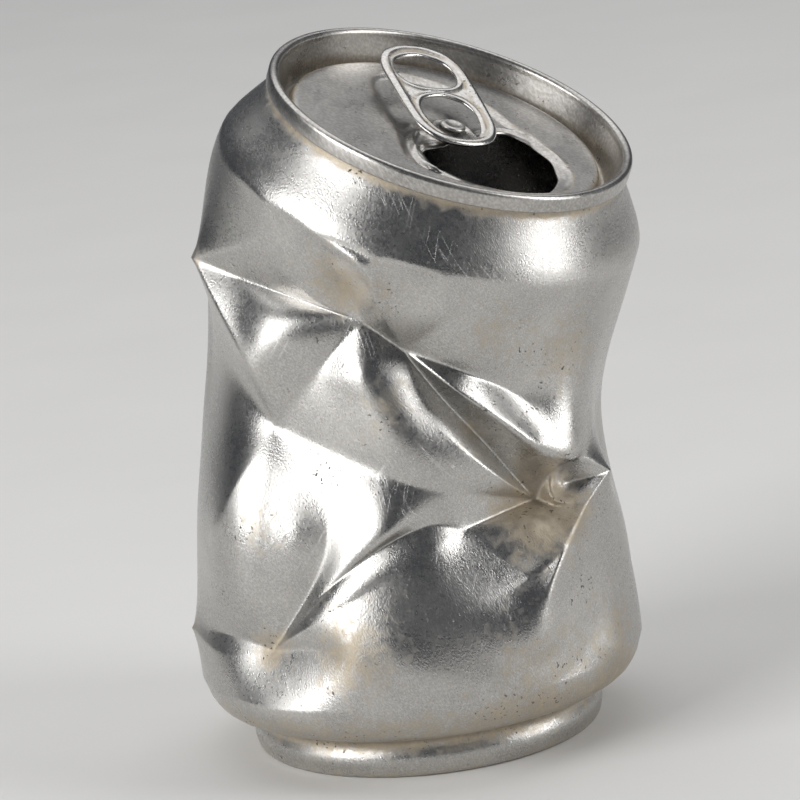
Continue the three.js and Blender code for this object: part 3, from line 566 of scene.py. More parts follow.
def body_sheet():
    """The wall with its neck, stand ring and dome, and the angles of the columns at its top."""
    points = [wall["values"][:, :3]]
    faces = wall["triangles"].tolist()
    count = len(points[0])

    def attach(ring, rows, upward):
        """Joins rows of points to a ring, one after another, and returns the last row."""
        nonlocal count
        size = len(ring)
        previous = list(ring)
        for row in rows:
            points.append(row)
            current = list(range(count, count + size))
            count += size
            for i in range(size):
                j = (i + 1) % size
                quad = (previous[i], previous[j], current[j], current[i])
                faces.append(quad if upward else quad[::-1])
            previous = current
        return previous

    low, low_angle = border_ring(wall, frame_at(line_start, UP))
    high, high_angle = border_ring(wall, frame_at(line_end, end_axis))
    attach(high, lathe(smooth_profile(NECK_PROFILE, 3), end_frame, high_angle), True)
    dome_edge = BASE_PROFILE[-1][0]
    dome = [(r, DOME_HEIGHT - DOME_DROP * (r / dome_edge) ** 2) for r in DOME_RADII]
    base = np.concatenate([smooth_profile(BASE_PROFILE, 2), dome])
    base[:, 1] = np.maximum(base[:, 1], 0)      # the curve would dip a little under the floor
    inner = attach(low, lathe(base, base_frame, low_angle), False)
    points.append(np.array([[0, 0, DOME_HEIGHT]]))
    size = len(inner)
    faces.extend((count, inner[(i + 1) % size], inner[i]) for i in range(size))
    return np.concatenate(points), faces, high_angle


body_points, body_faces, columns = body_sheet()
print("body sheet:", len(body_points), "points in", len(columns), "columns")

# %% [markdown]
# ## Where dirt settles
# Dirt gathers where water stands and nothing rubs: in the pinched folds, in the corner under
# the seam and round the foot. How dirty each point is goes into the mesh as an attribute called
# grime, which the material reads later, so the dirt stays where the shape would hold it.

# %% Body
# Where dirt has settled: a point of the folds, how far it spreads in millimetres, and how much.
DIRTY_PLACES = (
    ("lower_pinch", 3.5, 0.9), ("dimple", 5, 0.55), ("tan_mid", 6, 0.85), ("tan_right", 6, 0.8),
    ("fold_upper", 4.5, 0.5), ("fold_top", 5, 0.45), ("bulge_low", 4, 0.35), ("diamond_mid", 5, 0.45),
    ("right_brow_far", 7, 0.5), ("right_brow", 5, 0.4), ("lens_left", 5, 0.35), ("belly_low", 9, 0.4),
    ("belly_left", 8, 0.3), ("belly_right", 8, 0.55), ("left_peak", 3, 0.5), ("lower_peak", 3, 0.6),
    ("valley_b", 4, 0.5), ("back_pinch_b", 6, 0.7), ("back_deep_b", 6, 0.7),
)
# Dirt that runs all round: height, spread and amount. Under the seam the height is from the rim.
SEAM_DIRT = (-3.1, 0.9, 0.85)
FOOT_DIRT = ((5.2, 1.8, 0.75), (9, 2.5, 0.5), (0, 1.5, 0.45))


def settled_dirt(points):
    """Dirt near the named places, round the stand ring and the foot, and up under the seam."""
    dirt = np.zeros(len(points))
    for name, width, amount in DIRTY_PLACES:
        angle, height, radius = FOLD_POINTS[name]
        spot = around(wall_frame(height), math.radians(angle), radius)
        dirt += band(np.linalg.norm(points - spot, axis=1), 0, width, amount)
    dirt += band((points - END_CENTRE) @ end_axis, *SEAM_DIRT)
    for height, width, amount in FOOT_DIRT:
        dirt += band(points[:, 2], height, width, amount)
    return dirt


body = make_mesh("body", body_points, body_faces, settled_dirt(body_points))
thicken(body, BODY_SHEET, LINING_SHARE)
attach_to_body(body, "can")
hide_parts("can_body")
print("body:", triangles_in(body), "triangles")

# %% [markdown]
# ## The end
# The end is stamped from thicker sheet: a flat panel, a deep groove round it that makes it
# stiff, a steep wall up to the seam, and the seam itself, rolled over the body's flange. The
# panel is drawn as straight spokes from the mouth's edge to the groove, close enough together
# to carry the fine stamping: the drop-shaped recess, the bead round the mouth, the raised
# island under the rivet, and the creases that the torn panel left as it swung down. Each of
# these is a height over the flat panel that depends on the distance to a drawn line.

# %% Lines stamped into the end
MOUTH_TURN = math.radians(-43.5)     # direction of the mouth from the rivet
MOUTH_REACH = 9.2                    # middle of the mouth from the rivet
MOUTH = RIVET + MOUTH_REACH * np.array([math.cos(MOUTH_TURN), math.sin(MOUTH_TURN)])
# Half of the mouth's edge: degrees from its far end, and distance from its middle.
MOUTH_OUTLINE = [(0, 9.3), (32, 8.9), (53, 8.9), (76, 9.8), (96, 10.4), (108, 11.4), (121, 12), (132, 11),
                 (148, 8.6), (163, 7.1), (180, 6.6)]
RECESS_OUTLINE = [(-9, 2.1), (-8, -1.9), (-7.6, -6.3), (-6.9, -10.5), (-4.9, -13.9), (-1.2, -16), (4, -16.9),
                  (10, -16.3), (15, -13.8), (17.6, -11), (18.6, -7.6), (18.3, -3.2), (16.5, 1.1), (14.2, 3.8),
                  (10.4, 8.8), (7.6, 13), (3, 16.6), (-3, 18.2), (-8.2, 17.3), (-10.9, 12.7)]
RECESS_DEPTH = 0.45
RECESS_SLOPE = 1.2                   # how far in from its edge the recess reaches that depth
MOUTH_BEAD = (1.2, 0.4, 0.18)        # distance from the mouth's edge, width and height
TORN_EDGE = (0.5, 0.35)              # width and drop of the mouth's edge, bent down as it tore
ISLAND = (2.4, 4.4, 0.3)             # top radius, foot radius and height of the rivet's island
# Creases beside the mouth: how far each one rises or sinks, how wide it is, and its points.
TEAR_CREASES = [
    (-0.35, 0.5, [(-4.6, 0.6), (-5.3, -0.8), (-5.9, -3.2), (-5.9, -5.8), (-5.2, -9.9), (-3.7, -13),
                  (-1.7, -14.4)]),
    (0.28, 0.55, [(-4.4, -1.5), (-5, -4), (-4.9, -7.8), (-4, -11), (-2.4, -13.2)]),
    (-0.3, 0.45, [(-3.6, -1.6), (-4.2, -4.2), (-3.9, -7.9), (-3, -10.7), (-1.5, -12.4)]),
]
print("middle of the mouth is", np.linalg.norm(MOUTH).round(1), "mm from the middle of the end")

# %% [markdown]
# ## Heights from distances
# A die raises or sinks the sheet along a line, and the sheet curves away to both sides of it.
# So three measures are enough for all of the stamping: how far a point is from a line, whether
# it lies inside a closed one, and a smooth step from one level to another.

# %% Distances to drawn lines
def distance_to(points, line, closed=False):
    """Distance from each point to a line through the given points."""
    line = np.asarray(line, float)
    starts, stops = (line, np.roll(line, -1, 0)) if closed else (line[:-1], line[1:])
    nearest = np.full(points.shape[:-1], np.inf)
    for start, stop in zip(starts, stops):
        along = stop - start
        share = np.clip((points - start) @ along / (along @ along), 0, 1)
        gap = np.linalg.norm(points - start - share[..., None] * along, axis=-1)
        nearest = np.minimum(nearest, gap)
    return nearest


def inside(points, loop):
    """Whether each point lies inside a closed loop."""
    x, y = points[..., 0], points[..., 1]
    odd = np.zeros(x.shape, bool)
    for (x0, y0), (x1, y1) in zip(loop, np.roll(loop, -1, 0)):
        if y0 != y1:
            odd ^= ((y0 > y) != (y1 > y)) & (x < x0 + (y - y0) * (x1 - x0) / (y1 - y0))
    return odd


def step(value, start, stop):
    """Rises smoothly from 0 at start to 1 at stop."""
    t = np.clip((value - start) / (stop - start), 0, 1)
    return t * t * (3 - 2 * t)

# %% Stamped heights
def mouth_loop():
    """The mouth's edge, mirrored about the line from the rivet through its middle."""
    half = [(MOUTH_TURN + math.radians(a), r) for a, r in MOUTH_OUTLINE]
    other = [(MOUTH_TURN - math.radians(a), r) for a, r in MOUTH_OUTLINE[-2:0:-1]]
    polar = np.array(half + other)
    return smooth_loop(np.stack([polar[:, 1] * np.cos(polar[:, 0]), polar[:, 1] * np.sin(polar[:, 0])], 1), 8)


mouth_edge = mouth_loop() + MOUTH
recess_edge = smooth_loop(RECESS_OUTLINE, 5)


def panel_height(points):
    """Height of the stamped panel over its flat level."""
    from_mouth = distance_to(points, mouth_edge, closed=True)
    into_recess = np.where(inside(points, recess_edge), distance_to(points, recess_edge, closed=True), 0)
    edge_width, edge_drop = TORN_EDGE
    island_top, island_foot, island_height = ISLAND
    height = -RECESS_DEPTH * step(into_recess, 0, RECESS_SLOPE)
    height += band(from_mouth, *MOUTH_BEAD)
    height -= edge_drop * np.clip(1 - from_mouth / edge_width, 0, 1) ** 2
    for rise, width, line in TEAR_CREASES:
        height += band(distance_to(points, smooth_profile(line, 5)), 0, width, rise)
    island = 1 - step(np.linalg.norm(points - RIVET, axis=-1), island_top, island_foot)
    return height * (1 - island) + island_height * island


print("mouth is", np.ptp(mouth_edge, axis=0).round(1), "mm")

# %% [markdown]
# ## End plate and rivet
# The rivet of a real end is a bubble drawn up out of the panel, put through the tab and
# squeezed flat, so plate and rivet are one sheet. Here the plate is a set of rings, from the
# mouth's edge out over the groove and round the seam to the hook inside it, because rings can
# follow both the mouth and the rim. The part of the rivet that shows is lathed on its own.

# %% End plate and rivet
NEAR_MOUTH = np.array([0, 0.12, 0.25, 0.4, 0.6, 0.8, 1, 1.2, 1.4, 1.6, 1.8, 2.1])
PANEL_ROWS = 44               # rows from the last of those near the mouth to the groove
GROOVE_PROFILE = [(22.9, -3.95), (23.25, -4.9), (23.5, -5.6), (24, -5.9), (24.5, -5.6), (24.75, -4.9),
                  (25.3, -2.4), (25.62, -1)]
SEAM_TOP = ((26.36, -0.72), 0.74)        # middle and radius of each roll of the seam
SEAM_FOOT = ((26.72, -2.22), 0.38)
HOOK_END = (26.34, -1.35)
BUTTON_PROFILE = [(1.35, -3.3), (1.35, -2.85), (1.7, -2.82), (1.88, -2.68), (1.85, -2.46), (1.68, -2.32),
                  (1.35, -2.26), (1, -2.3), (0.7, -2.37), (0.3, -2.4), (0.01, -2.4)]


def on_end(points, height):
    """Points on the end, from how far right and back they are, and their height over the rim."""
    return (end_frame["origin"] + points[..., :1] * end_frame["right"] + points[..., 1:] * end_frame["back"]
            + np.asarray(height)[..., None] * end_frame["axis"])


# Dirt on the end: distance, spread and amount.
GROOVE_DIRT = ((22.9, 0.45, 0.95), (24, 0.8, 0.5))      # from the end's middle
RECESS_DIRT = (0, 0.5, 0.45)                            # from the recess's edge
RIVET_DIRT = (3.6, 1.2, 0.4)                            # from the rivet


def panel_spokes():
    """Rings of points on the panel: one point on each spoke from the mouth's edge to the groove."""
    rim = PANEL_RADIUS * np.stack([np.sin(columns), -np.cos(columns)], 1)
    angle = np.arctan2(*(rim - MOUTH).T[::-1])
    reach = np.linalg.norm(rim - MOUTH, axis=1)
    edge_angle = np.arctan2(*(mouth_edge - MOUTH).T[::-1])
    order = np.argsort(edge_angle)
    edge_reach = np.linalg.norm(mouth_edge - MOUTH, axis=1)[order]
    start = np.interp(angle, edge_angle[order], edge_reach, period=2 * math.pi)
    away = np.stack([np.cos(angle), np.sin(angle)], 1)
    near = start[None, :] + NEAR_MOUTH[:, None]
    far = np.linspace(near[-1], reach, PANEL_ROWS)[1:]
    spokes = MOUTH + np.concatenate([near, far])[..., None] * away
    return on_end(spokes, -PANEL_DEPTH + panel_height(spokes))


def end_plate():
    """The panel's rings, and then those of the groove, the seam and its hook, made into sheet."""
    panel = panel_spokes()
    outside = np.concatenate([smooth_profile([(PANEL_RADIUS, -PANEL_DEPTH), *GROOVE_PROFILE], 4)[1:],
                              arc(*SEAM_TOP, 180, 0, 14), arc(*SEAM_FOOT, 0, -180, 8), [HOOK_END]])
    rings = np.concatenate([panel, lathe(outside, end_frame, columns)])
    offset = rings - END_CENTRE
    flat = np.stack([offset @ end_frame["right"], offset @ end_frame["back"]], -1)
    radius = np.linalg.norm(flat, axis=-1)
    dirt = sum(band(radius, *place) for place in GROOVE_DIRT)
    dirt += band(distance_to(flat, recess_edge, closed=True), *RECESS_DIRT)
    dirt += band(np.linalg.norm(flat - RIVET, axis=-1), *RIVET_DIRT)
    faces = ring_faces(len(rings), len(columns), upward=False)
    piece = make_mesh("end", rings.reshape(-1, 3), faces, dirt.ravel())
    thicken(piece, END_SHEET)
    return piece


def rivet():
    """The flattened head of the rivet and its short neck."""
    where = frame_at(on_end(RIVET, 0.0), end_axis)
    turn = np.linspace(0, 2 * math.pi, 48, endpoint=False)
    rings = lathe(smooth_profile(BUTTON_PROFILE, 3), where, turn)
    return make_mesh("rivet", rings.reshape(-1, 3), ring_faces(len(rings), len(turn)))

# %% [markdown]
# ## Torn panel
# Opening the can tears the panel along its score, all but a short hinge, which is at the
# mouth's left edge. The panel is a small grid of points that leaves that edge, bends down
# through a tight radius and hangs inside the can. Its width follows the mouth's outline
# roughly, because little more than its hinge can be seen.

# %% Torn panel
HINGE_TURN = MOUTH_TURN - math.radians(118)       # direction of its hinge from the mouth's middle
HINGE_REACH = 12.4
FLAP_LENGTH = 15
FLAP_HALF_WIDTHS = (3.6, 4.4, 4.2)                # at the hinge, then added, and lost by the tip
FLAP_WIDEST = 0.625                               # where the added width is greatest, of its length
FLAP_BEND = math.radians(78)
FLAP_BEND_RADIUS = 2
FLAP_RIM = 0.25                                   # how far its scored edge is bent down
FLAP_GAP = 0.04                                   # between it and the plate
FLAP_ROWS = 30
FLAP_COLUMNS = 16


def torn_panel():
    """Rows of points across the flap, from its hinge down to its tip."""
    towards = -np.array([math.cos(HINGE_TURN), math.sin(HINGE_TURN)])
    along = np.array([-towards[1], towards[0]])
    travel = np.linspace(0, FLAP_LENGTH, FLAP_ROWS)[:, None]
    side = np.linspace(-1, 1, FLAP_COLUMNS)[None, :]
    share = travel / FLAP_LENGTH
    at_hinge, added, lost = FLAP_HALF_WIDTHS
    half = at_hinge + added * np.sin(math.pi / 2 * share / FLAP_WIDEST) - lost * share ** 3
    bend = np.minimum(travel / FLAP_BEND_RADIUS, FLAP_BEND)
    straight = np.maximum(travel - FLAP_BEND_RADIUS * FLAP_BEND, 0)
    out = FLAP_BEND_RADIUS * np.sin(bend) + straight * math.cos(FLAP_BEND)
    down = FLAP_BEND_RADIUS * (1 - np.cos(bend)) + straight * math.sin(FLAP_BEND)
    root = MOUTH - towards * HINGE_REACH
    flat = root + out[..., None] * towards + (half * side)[..., None] * along
    bent_rim = FLAP_RIM * step(np.abs(side), 0.8, 1) * step(share, 0.1, 0.2)
    points = on_end(flat, -PANEL_DEPTH - END_SHEET - FLAP_GAP - down - bent_rim)
    corners = [i * FLAP_COLUMNS + j for i in range(FLAP_ROWS - 1) for j in range(FLAP_COLUMNS - 1)]
    faces = [(k + FLAP_COLUMNS, k + FLAP_COLUMNS + 1, k + 1, k) for k in corners]
    piece = make_mesh("torn_panel", points.reshape(-1, 3), faces)
    thicken(piece, END_SHEET)
    return piece


print(len(columns), "columns round the end")
for piece in (end_plate(), rivet(), torn_panel()):
    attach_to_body(piece, "can")
    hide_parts("can_end")
    print(piece.name, triangles_in(piece), "triangles")

# %% [markdown]
# ## The pull tab
# A tab is stamped from one strip whose edges are curled under, so it has a thick rounded hem
# round its outside and thinner ones round its two holes, with a thin web between them. Its
# tongue stays flat on the panel, where the rivet holds it, while the frame round it tilts up
# towards the finger end. The frame's upper and lower faces are heights over one triangulated
# outline. Each hem is half an ellipse of the distance to its edge, so it rolls over roundly.

# %% Tab
TAB_LIFT = math.radians(9.5)         # frame over the panel
TAB_TURN = math.radians(90 + 21)     # finger end, from the end's right
TAB_LENGTH = 24.6
TAB_HALF_WIDTH = 7
NOSE = 5.8                           # nose of the tab from the rivet
NOSE_HEIGHT = -3.42                  # its underside, measured up from the rim
TONGUE_HEIGHT = -3.3                 # the tongue's underside, likewise
TONGUE_SHEET = 0.3
TONGUE_RADIUS = 2.9
TONGUE_HOLE = 1.5
TONGUE_REACH = 4.9                   # how far the tongue runs towards the nose
TONGUE_ROUNDING = 0.06
HEM_MIDDLE = 0.475                   # middle of the hems over the tab's underside
OUTER_HEM = (0.8, 0.475)             # half the width and half the height of the outer hem
HOLE_HEM = (0.55, 0.34)              # and of the hems round the holes
WEB = (0.3, 0.12)                    # distance from an edge where the web begins, and half its height
OUTER_DIRT = (1.7, 0.35, 0.55)       # dirt beside the hems: distance from the edge, spread, amount
HOLE_DIRT = (1.2, 0.3, 0.55)
TONGUE_DIRT = 0.3
TAB_OUTLINE = [(-NOSE, 0), (-NOSE + 0.5, 2.9), (-3.9, 5), (-1.2, 6.4), (2.5, 6.8), (9, 6.9), (13.4, 6.7),
               (16.7, 5.3), (TAB_LENGTH - NOSE - 0.4, 2.7), (TAB_LENGTH - NOSE, 0)]
FINGER_HOLE = [(8.2, 0), (8.5, 2.6), (10, 4.4), (12.4, 4.8), (15, 3.6), (16.2, 0)]
RIVET_HOLE = [(-4.1, 0), (-3.7, 2.1), (-1.7, 3.6), (1, 4.3), (3.5, 4.1), (5.4, 2.8), (6.2, 0)]
TAB_GRID = 0.3                       # between points away from the edges
HEM_STEPS = (0.03, 0.1, 0.22, 0.4, 0.6, 0.8, 1, 1.2, 1.4, 1.6)      # rows of points beside an edge
ROW_CLEARANCE = 0.97                 # part of that distance which a row keeps from every other edge
ON_EDGE = 1e-4
print("tab:", TAB_LENGTH, "mm long")

# %% Outlines and hems
def mirrored(half, steps):
    """A closed curve through half an outline and its mirror image."""
    return smooth_loop(half + [(u, -w) for u, w in half[-2:0:-1]], steps)


def hem(distance, width, height):
    """Half an ellipse from the edge over the hem's crest and down to its inner side."""
    return height * np.sqrt(np.clip(1 - (distance / width - 1) ** 2, 0, 1))


def inset(loop, distance, inwards):
    """Points beside a closed loop that runs clockwise seen from above."""
    along = np.roll(loop, -1, 0) - np.roll(loop, 1, 0)
    normal = np.stack([along[:, 1], -along[:, 0]], 1) / np.linalg.norm(along, axis=1)[:, None]
    return loop + distance * normal * (1 if inwards else -1)


tab_edge = mirrored(TAB_OUTLINE, 7)
finger_edge = mirrored(FINGER_HOLE, 6)
rivet_edge = mirrored(RIVET_HOLE, 6)
tab_loops = (tab_edge, finger_edge, rivet_edge)

# %% [markdown]
# ## A net for the tab
# Curled hems need rows of points that follow the edges, closest where the metal turns over,
# and the flat web between them needs few. So the rows are laid beside each edge first, an
# even grid fills what is left, and the same kind of triangulation as the wall's joins them.

# %% Tab net
def from_loops(points):
    """Distances to the tab's outline, its finger hole and its rivet hole."""
    return [distance_to(points, loop, closed=True) for loop in tab_loops]


def in_metal(points):
    """Whether each point is inside the outline and in neither hole."""
    return inside(points, tab_edge) & ~inside(points, finger_edge) & ~inside(points, rivet_edge)


def tab_points():
    """The points of the three edges, then rows beside them, then an even grid between."""
    scattered = []
    for loop, inwards in zip(tab_loops, (True, False, False)):
        for distance in HEM_STEPS:
            row = inset(loop, distance, inwards)
            scattered.append(row[np.min(from_loops(row), axis=0) > ROW_CLEARANCE * distance])
    lengths = np.arange(-NOSE, TAB_LENGTH - NOSE, TAB_GRID)
    widths = np.arange(-TAB_HALF_WIDTH, TAB_HALF_WIDTH, TAB_GRID)
    grid = np.stack(np.meshgrid(lengths, widths), -1).reshape(-1, 2)
    scattered.append(grid[np.min(from_loops(grid), axis=0) > HEM_STEPS[-1]])
    scattered = np.concatenate(scattered)
    return np.concatenate([*tab_loops, scattered[in_metal(scattered)]])


def tab_net():
    """Triangles that fill the tab's outline seen from above, and leave its holes."""
    fixed = []
    first = 0
    for loop in tab_loops:
        fixed += [(first + i, first + (i + 1) % len(loop)) for i in range(len(loop))]
        first += len(loop)
    found = delaunay_2d_cdt([Vector(p) for p in tab_points()], fixed, [], 0, 1e-5)
    flat = np.array([corner[:] for corner in found[0]])
    triangles = np.array(found[2])
    return flat, triangles[in_metal(flat[triangles].mean(1))]

# %% Tab frame
def tab_frame():
    """The net, raised to an upper and a lower face that meet at the edges, and tilted."""
    flat, triangles = tab_net()
    from_outer, from_finger, from_rivet = from_loops(flat)
    from_hole = np.minimum(from_finger, from_rivet)
    from_edge = np.minimum(from_outer, from_hole)
    on_edge = from_edge < ON_EDGE
    web_begins, web_half = WEB
    half = np.maximum(hem(from_outer, *OUTER_HEM), hem(from_hole, *HOLE_HEM))
    half = np.maximum(half, web_half * (from_edge > web_begins))
    half[on_edge] = 0
    upper = np.column_stack([flat, HEM_MIDDLE + half])
    lower = np.column_stack([flat, HEM_MIDDLE - half])
    twin = np.where(on_edge, np.arange(len(flat)), len(flat) + np.arange(len(flat)))
    faces = triangles.tolist() + twin[triangles[:, ::-1]].tolist()
    tilt = np.array([[math.cos(TAB_LIFT), 0, -math.sin(TAB_LIFT)], [0, 1, 0],
                     [math.sin(TAB_LIFT), 0, math.cos(TAB_LIFT)]])
    points = np.concatenate([upper, lower]) @ tilt.T
    points[:, 2] += NOSE_HEIGHT + NOSE * math.sin(TAB_LIFT)
    return points, faces, np.tile(band(from_outer, *OUTER_DIRT) + band(from_hole, *HOLE_DIRT), 2)

# %% [markdown]
# ## The tongue and the whole tab
# The tongue is a flat ring round the rivet, drawn out to the nose, where a real tab is bent so
# that its frame can lift. Frame and tongue are one mesh, as they are one strip of metal, and
# the whole is turned about the rivet to where somebody left it.

# %% Tongue and whole tab
def tab_tongue():
    """A flat ring round the rivet, drawn out to the nose."""
    turn = np.linspace(0, 2 * math.pi, 96, endpoint=False)
    away = np.stack([np.cos(turn), np.sin(turn)], 1)
    reach = np.full(len(turn), TONGUE_RADIUS)
    towards_nose = away[:, 0] < 0
    width = np.abs(away[towards_nose, 1])
    straight_side = TONGUE_RADIUS / np.maximum(width, 1e-3)
    reach[towards_nose] = np.minimum(straight_side, TONGUE_REACH / -away[towards_nose, 0])
    rows = []
    for inner, share in ((TONGUE_ROUNDING, 1), (0, 0.8), (0, 0.2), (TONGUE_ROUNDING, 0)):
        rows.append((reach - inner, share))
    for inner, share in ((0, 0), (0.05, 0.5), (0, 1)):
        rows.append((np.full(len(turn), TONGUE_HOLE - inner), share))
    rows.append(rows[0])
    points = [np.column_stack([away * r[:, None], np.full(len(turn), TONGUE_HEIGHT + share * TONGUE_SHEET)])
              for r, share in rows]
    points = np.concatenate(points)
    return points, ring_faces(len(rows), len(turn), upward=False)


def tab():
    """Frame and tongue together, turned about the rivet and set on the end."""
    frame_points, frame_faces, frame_dirt = tab_frame()
    tongue_points, tongue_faces = tab_tongue()
    flat = np.concatenate([frame_points, tongue_points])
    faces = frame_faces + [tuple(k + len(frame_points) for k in face) for face in tongue_faces]
    turn = np.array([[math.cos(TAB_TURN), -math.sin(TAB_TURN)], [math.sin(TAB_TURN), math.cos(TAB_TURN)]])
    dirt = np.concatenate([frame_dirt, np.full(len(tongue_points), TONGUE_DIRT)])
    return make_mesh("tab", on_end(RIVET + flat[:, :2] @ turn.T, flat[:, 2]), faces, dirt)


pull_tab = tab()
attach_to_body(pull_tab, "tab")
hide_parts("pull_tab")
print("tab:", triangles_in(pull_tab), "triangles")

# %% [markdown]
# ## Writing materials as formulas
# A material is a formula over the surface, so it is written as one. `Value` stands for a
# node's output, and sums or products of values add their own Math nodes. `Material.node`
# makes any other node.

# %% Values
class Value:
    """An output of a node."""

    def __init__(self, material, output):
        self.material = material
        self.output = output

    def math(self, operation, a, b):
        return self.material.node("ShaderNodeMath", {"operation": operation}, {0: a, 1: b})

    def __add__(self, other):
        return self.math("ADD", self, other)

    def __radd__(self, other):
        return self.math("ADD", other, self)

    def __sub__(self, other):
        return self.math("SUBTRACT", self, other)

    def __rsub__(self, other):
        return self.math("SUBTRACT", other, self)

    def __mul__(self, other):
        return self.math("MULTIPLY", self, other)

    def __rmul__(self, other):
        return self.math("MULTIPLY", other, self)

    def between(self, low, high):
        """0 below low, 1 above high, and even in between."""
        return self.material.node("ShaderNodeMapRange", {"clamp": True},
                                  {"Value": self, "From Min": low, "From Max": high})

# %% [markdown]
# ## Making nodes
# One method makes any node from its type, its settings and its sockets. The others are the
# few patterns that every surface here is made of: noise, mixed colours, drawn-out marks and
# bumps. Their sizes are in millimetres.

# %% Nodes
class Material:
    """A material's nodes."""

    def __init__(self, name):
        self.made = bpy.data.materials.new(name)
        self.made.use_nodes = True
        self.tree = self.made.node_tree
        self.shader = self.tree.nodes["Principled BSDF"]

    def node(self, kind, settings=None, sockets=None, output=0):
        """A new node: its settings first, then the values or links of its sockets."""
        made = self.tree.nodes.new(kind)
        for name, value in (settings or {}).items():
            setattr(made, name, value)
        self.connect(made, sockets or {})
        return Value(self, made.outputs[output])

    def connect(self, node, sockets):
        for name, value in sockets.items():
            if isinstance(value, Value):
                self.tree.links.new(value.output, node.inputs[name])
            else:
                node.inputs[name].default_value = value

    def millimetres(self):
        """Where a point of the piece is, in the piece's own frame."""
        place = self.node("ShaderNodeTexCoord", output="Object")
        return self.node("ShaderNodeVectorMath", {"operation": "SCALE"}, {0: place, "Scale": 1 / MM})

    def noise(self, place, size, detail=2.0, distortion=0.0):
        """Cloudy values round 0.5, with clouds of about this size in millimetres."""
        return self.node("ShaderNodeTexNoise", {}, {"Vector": place, "Scale": 1 / size, "Detail": detail,
                                                    "Distortion": distortion}, "Fac")

    def mix(self, share, a, b):
        """From colour a to colour b."""
        return self.node("ShaderNodeMix", {"data_type": "RGBA"}, {0: share, 6: a, 7: b}, 2)

    def stretched(self, place, turn, factors):
        """Places turned about each axis and then scaled, for marks that are longer one way."""
        turned = self.node("ShaderNodeVectorRotate", {"rotation_type": "EULER_XYZ"},
                           {"Vector": place, "Rotation": turn})
        return self.node("ShaderNodeVectorMath", {"operation": "MULTIPLY"}, {0: turned, 1: factors})

    def bump(self, height, strength, depth):
        """A normal tipped by a height of this depth in millimetres."""
        sockets = {"Height": height, "Strength": strength, "Distance": depth * MM}
        return self.node("ShaderNodeBump", {}, sockets, "Normal")

    def finish(self, **sockets):
        """Joins values to the surface shader, whose socket names have blanks for underscores."""
        self.connect(self.shader, {name.replace("_", " "): value for name, value in sockets.items()})
        return self.made

# %% [markdown]
# ## Bare aluminium
# The can has lost its print, and what is left is bare metal that has been rubbed dull. It is
# a pale warm grey with cloudy patches, a fine grain of short scuffs that sparkles and whose
# light streaks are a painted sheen, some longer scratches, dark pinprick specks in clusters,
# and a tan film where dirt has settled: in the folds, round the foot and under the seam. The
# thicker end is smoother, and the tab, which fingers have polished, is the brightest.

# %% Scratches and colours
# Near-white colour that the grain is lightened towards: real scuffs with a painted sheen.
SCUFF_AND_SHEEN = (0.9, 0.89, 0.87, 1)
SCRATCHED = (0.92, 0.91, 0.9, 1)
DARK_DIRT = (0.3, 0.23, 0.14, 1)
PALE_DIRT = (0.48, 0.4, 0.28, 1)
SPECK = (0.06, 0.045, 0.03, 1)
SCRATCH_LENGTHENING = 0.035       # how far the noise is drawn out along a scratch
SCRATCH_HALF_WIDTH = 0.006        # of the noise's range
GRIME_SHARE = 1.1                 # how much the settled dirt and the patches each count in the film
PATCH_SHARE = 1.5
FILM_STARTS, FILM_FULL = 1.0, 1.65


def scratches(m, place, turn, share):
    """Thin straight lines along one direction, in some places only."""
    lengthened = m.stretched(place, turn, (1.0, SCRATCH_LENGTHENING, SCRATCH_LENGTHENING))
    off_middle = m.noise(lengthened, 0.9, detail=1) - 0.5
    either_side = m.node("ShaderNodeMath", {"operation": "ABSOLUTE"}, {0: off_middle})
    thin = 1 - either_side.between(0.0, SCRATCH_HALF_WIDTH)
    here = m.noise(place, 11).between(0.66 - 0.14 * share, 0.76 - 0.14 * share)
    return thin * here

# %% Aluminium
def aluminium(name, dark, light, roughness, grain_size, grain_depth, wear, dirt):
    """Bare metal between two greys. Wear and dirt are how much of it is scratched and dirty."""
    m = Material(name)
    place = m.millimetres()
    clouds = m.noise(place, 8, detail=4, distortion=0.6).between(0.3, 0.7)
    grain = m.noise(m.stretched(place, (0.3, 0.5, 0.2), (1.0, 1.0, 0.5)), grain_size, detail=2)
    scuffs = m.noise(m.stretched(place, (0.2, 0.9, 0.4), (1.0, 0.3, 1.0)), 3 * grain_size, detail=3)
    marks = scratches(m, place, (0.4, 0.3, 0.7), wear) + scratches(m, place, (1.1, 0.2, -0.6), wear)
    patches = m.noise(place, 1.6, detail=4, distortion=0.4)
    settled = m.node("ShaderNodeAttribute", {"attribute_name": "grime"}, output="Fac")
    film = (settled * GRIME_SHARE + patches * PATCH_SHARE).between(FILM_STARTS, FILM_FULL) * dirt
    clusters = (m.noise(place, 6, detail=3) + settled * 0.16).between(0.58, 0.68)
    specks = m.noise(place, 0.55, detail=1).between(0.66, 0.7) * clusters

    metal = m.mix(clouds, dark, light)
    # The grain's light streaks paint a sheen into the colour, on top of the real scuffs.
    metal = m.mix(grain.between(0.4, 0.7) * 0.35, metal, SCUFF_AND_SHEEN)
    metal = m.mix(marks * 0.3, metal, SCRATCHED)
    dirty = m.mix(patches.between(0.35, 0.65), DARK_DIRT, PALE_DIRT)
    colour = m.mix(film * 0.75, metal, dirty)
    colour = m.mix(specks * 0.85, colour, SPECK)
    normal = m.bump(grain + scuffs * 0.05 + marks * 0.2 - specks * 0.6, 1.0, grain_depth)
    rough = roughness + (clouds - 0.5) * 0.06 + (scuffs - 0.5) * 0.15 + film * 0.2 + specks * 0.3
    metallic = 1 - film * 0.45 - specks * 0.5
    return m.finish(Base_Color=colour, Metallic=metallic, Roughness=rough, Normal=normal)

# %% [markdown]
# ## Sealing compound, and which piece gets what
# A thin ring of rubber compound makes the seam tight. It is dull, grey and slightly uneven, so
# one noise is enough for its colour, its roughness and its bumps. Then each piece gets its
# material. The three aluminiums differ only in their greys, their polish, their grain, and how
# worn and dirty they are.

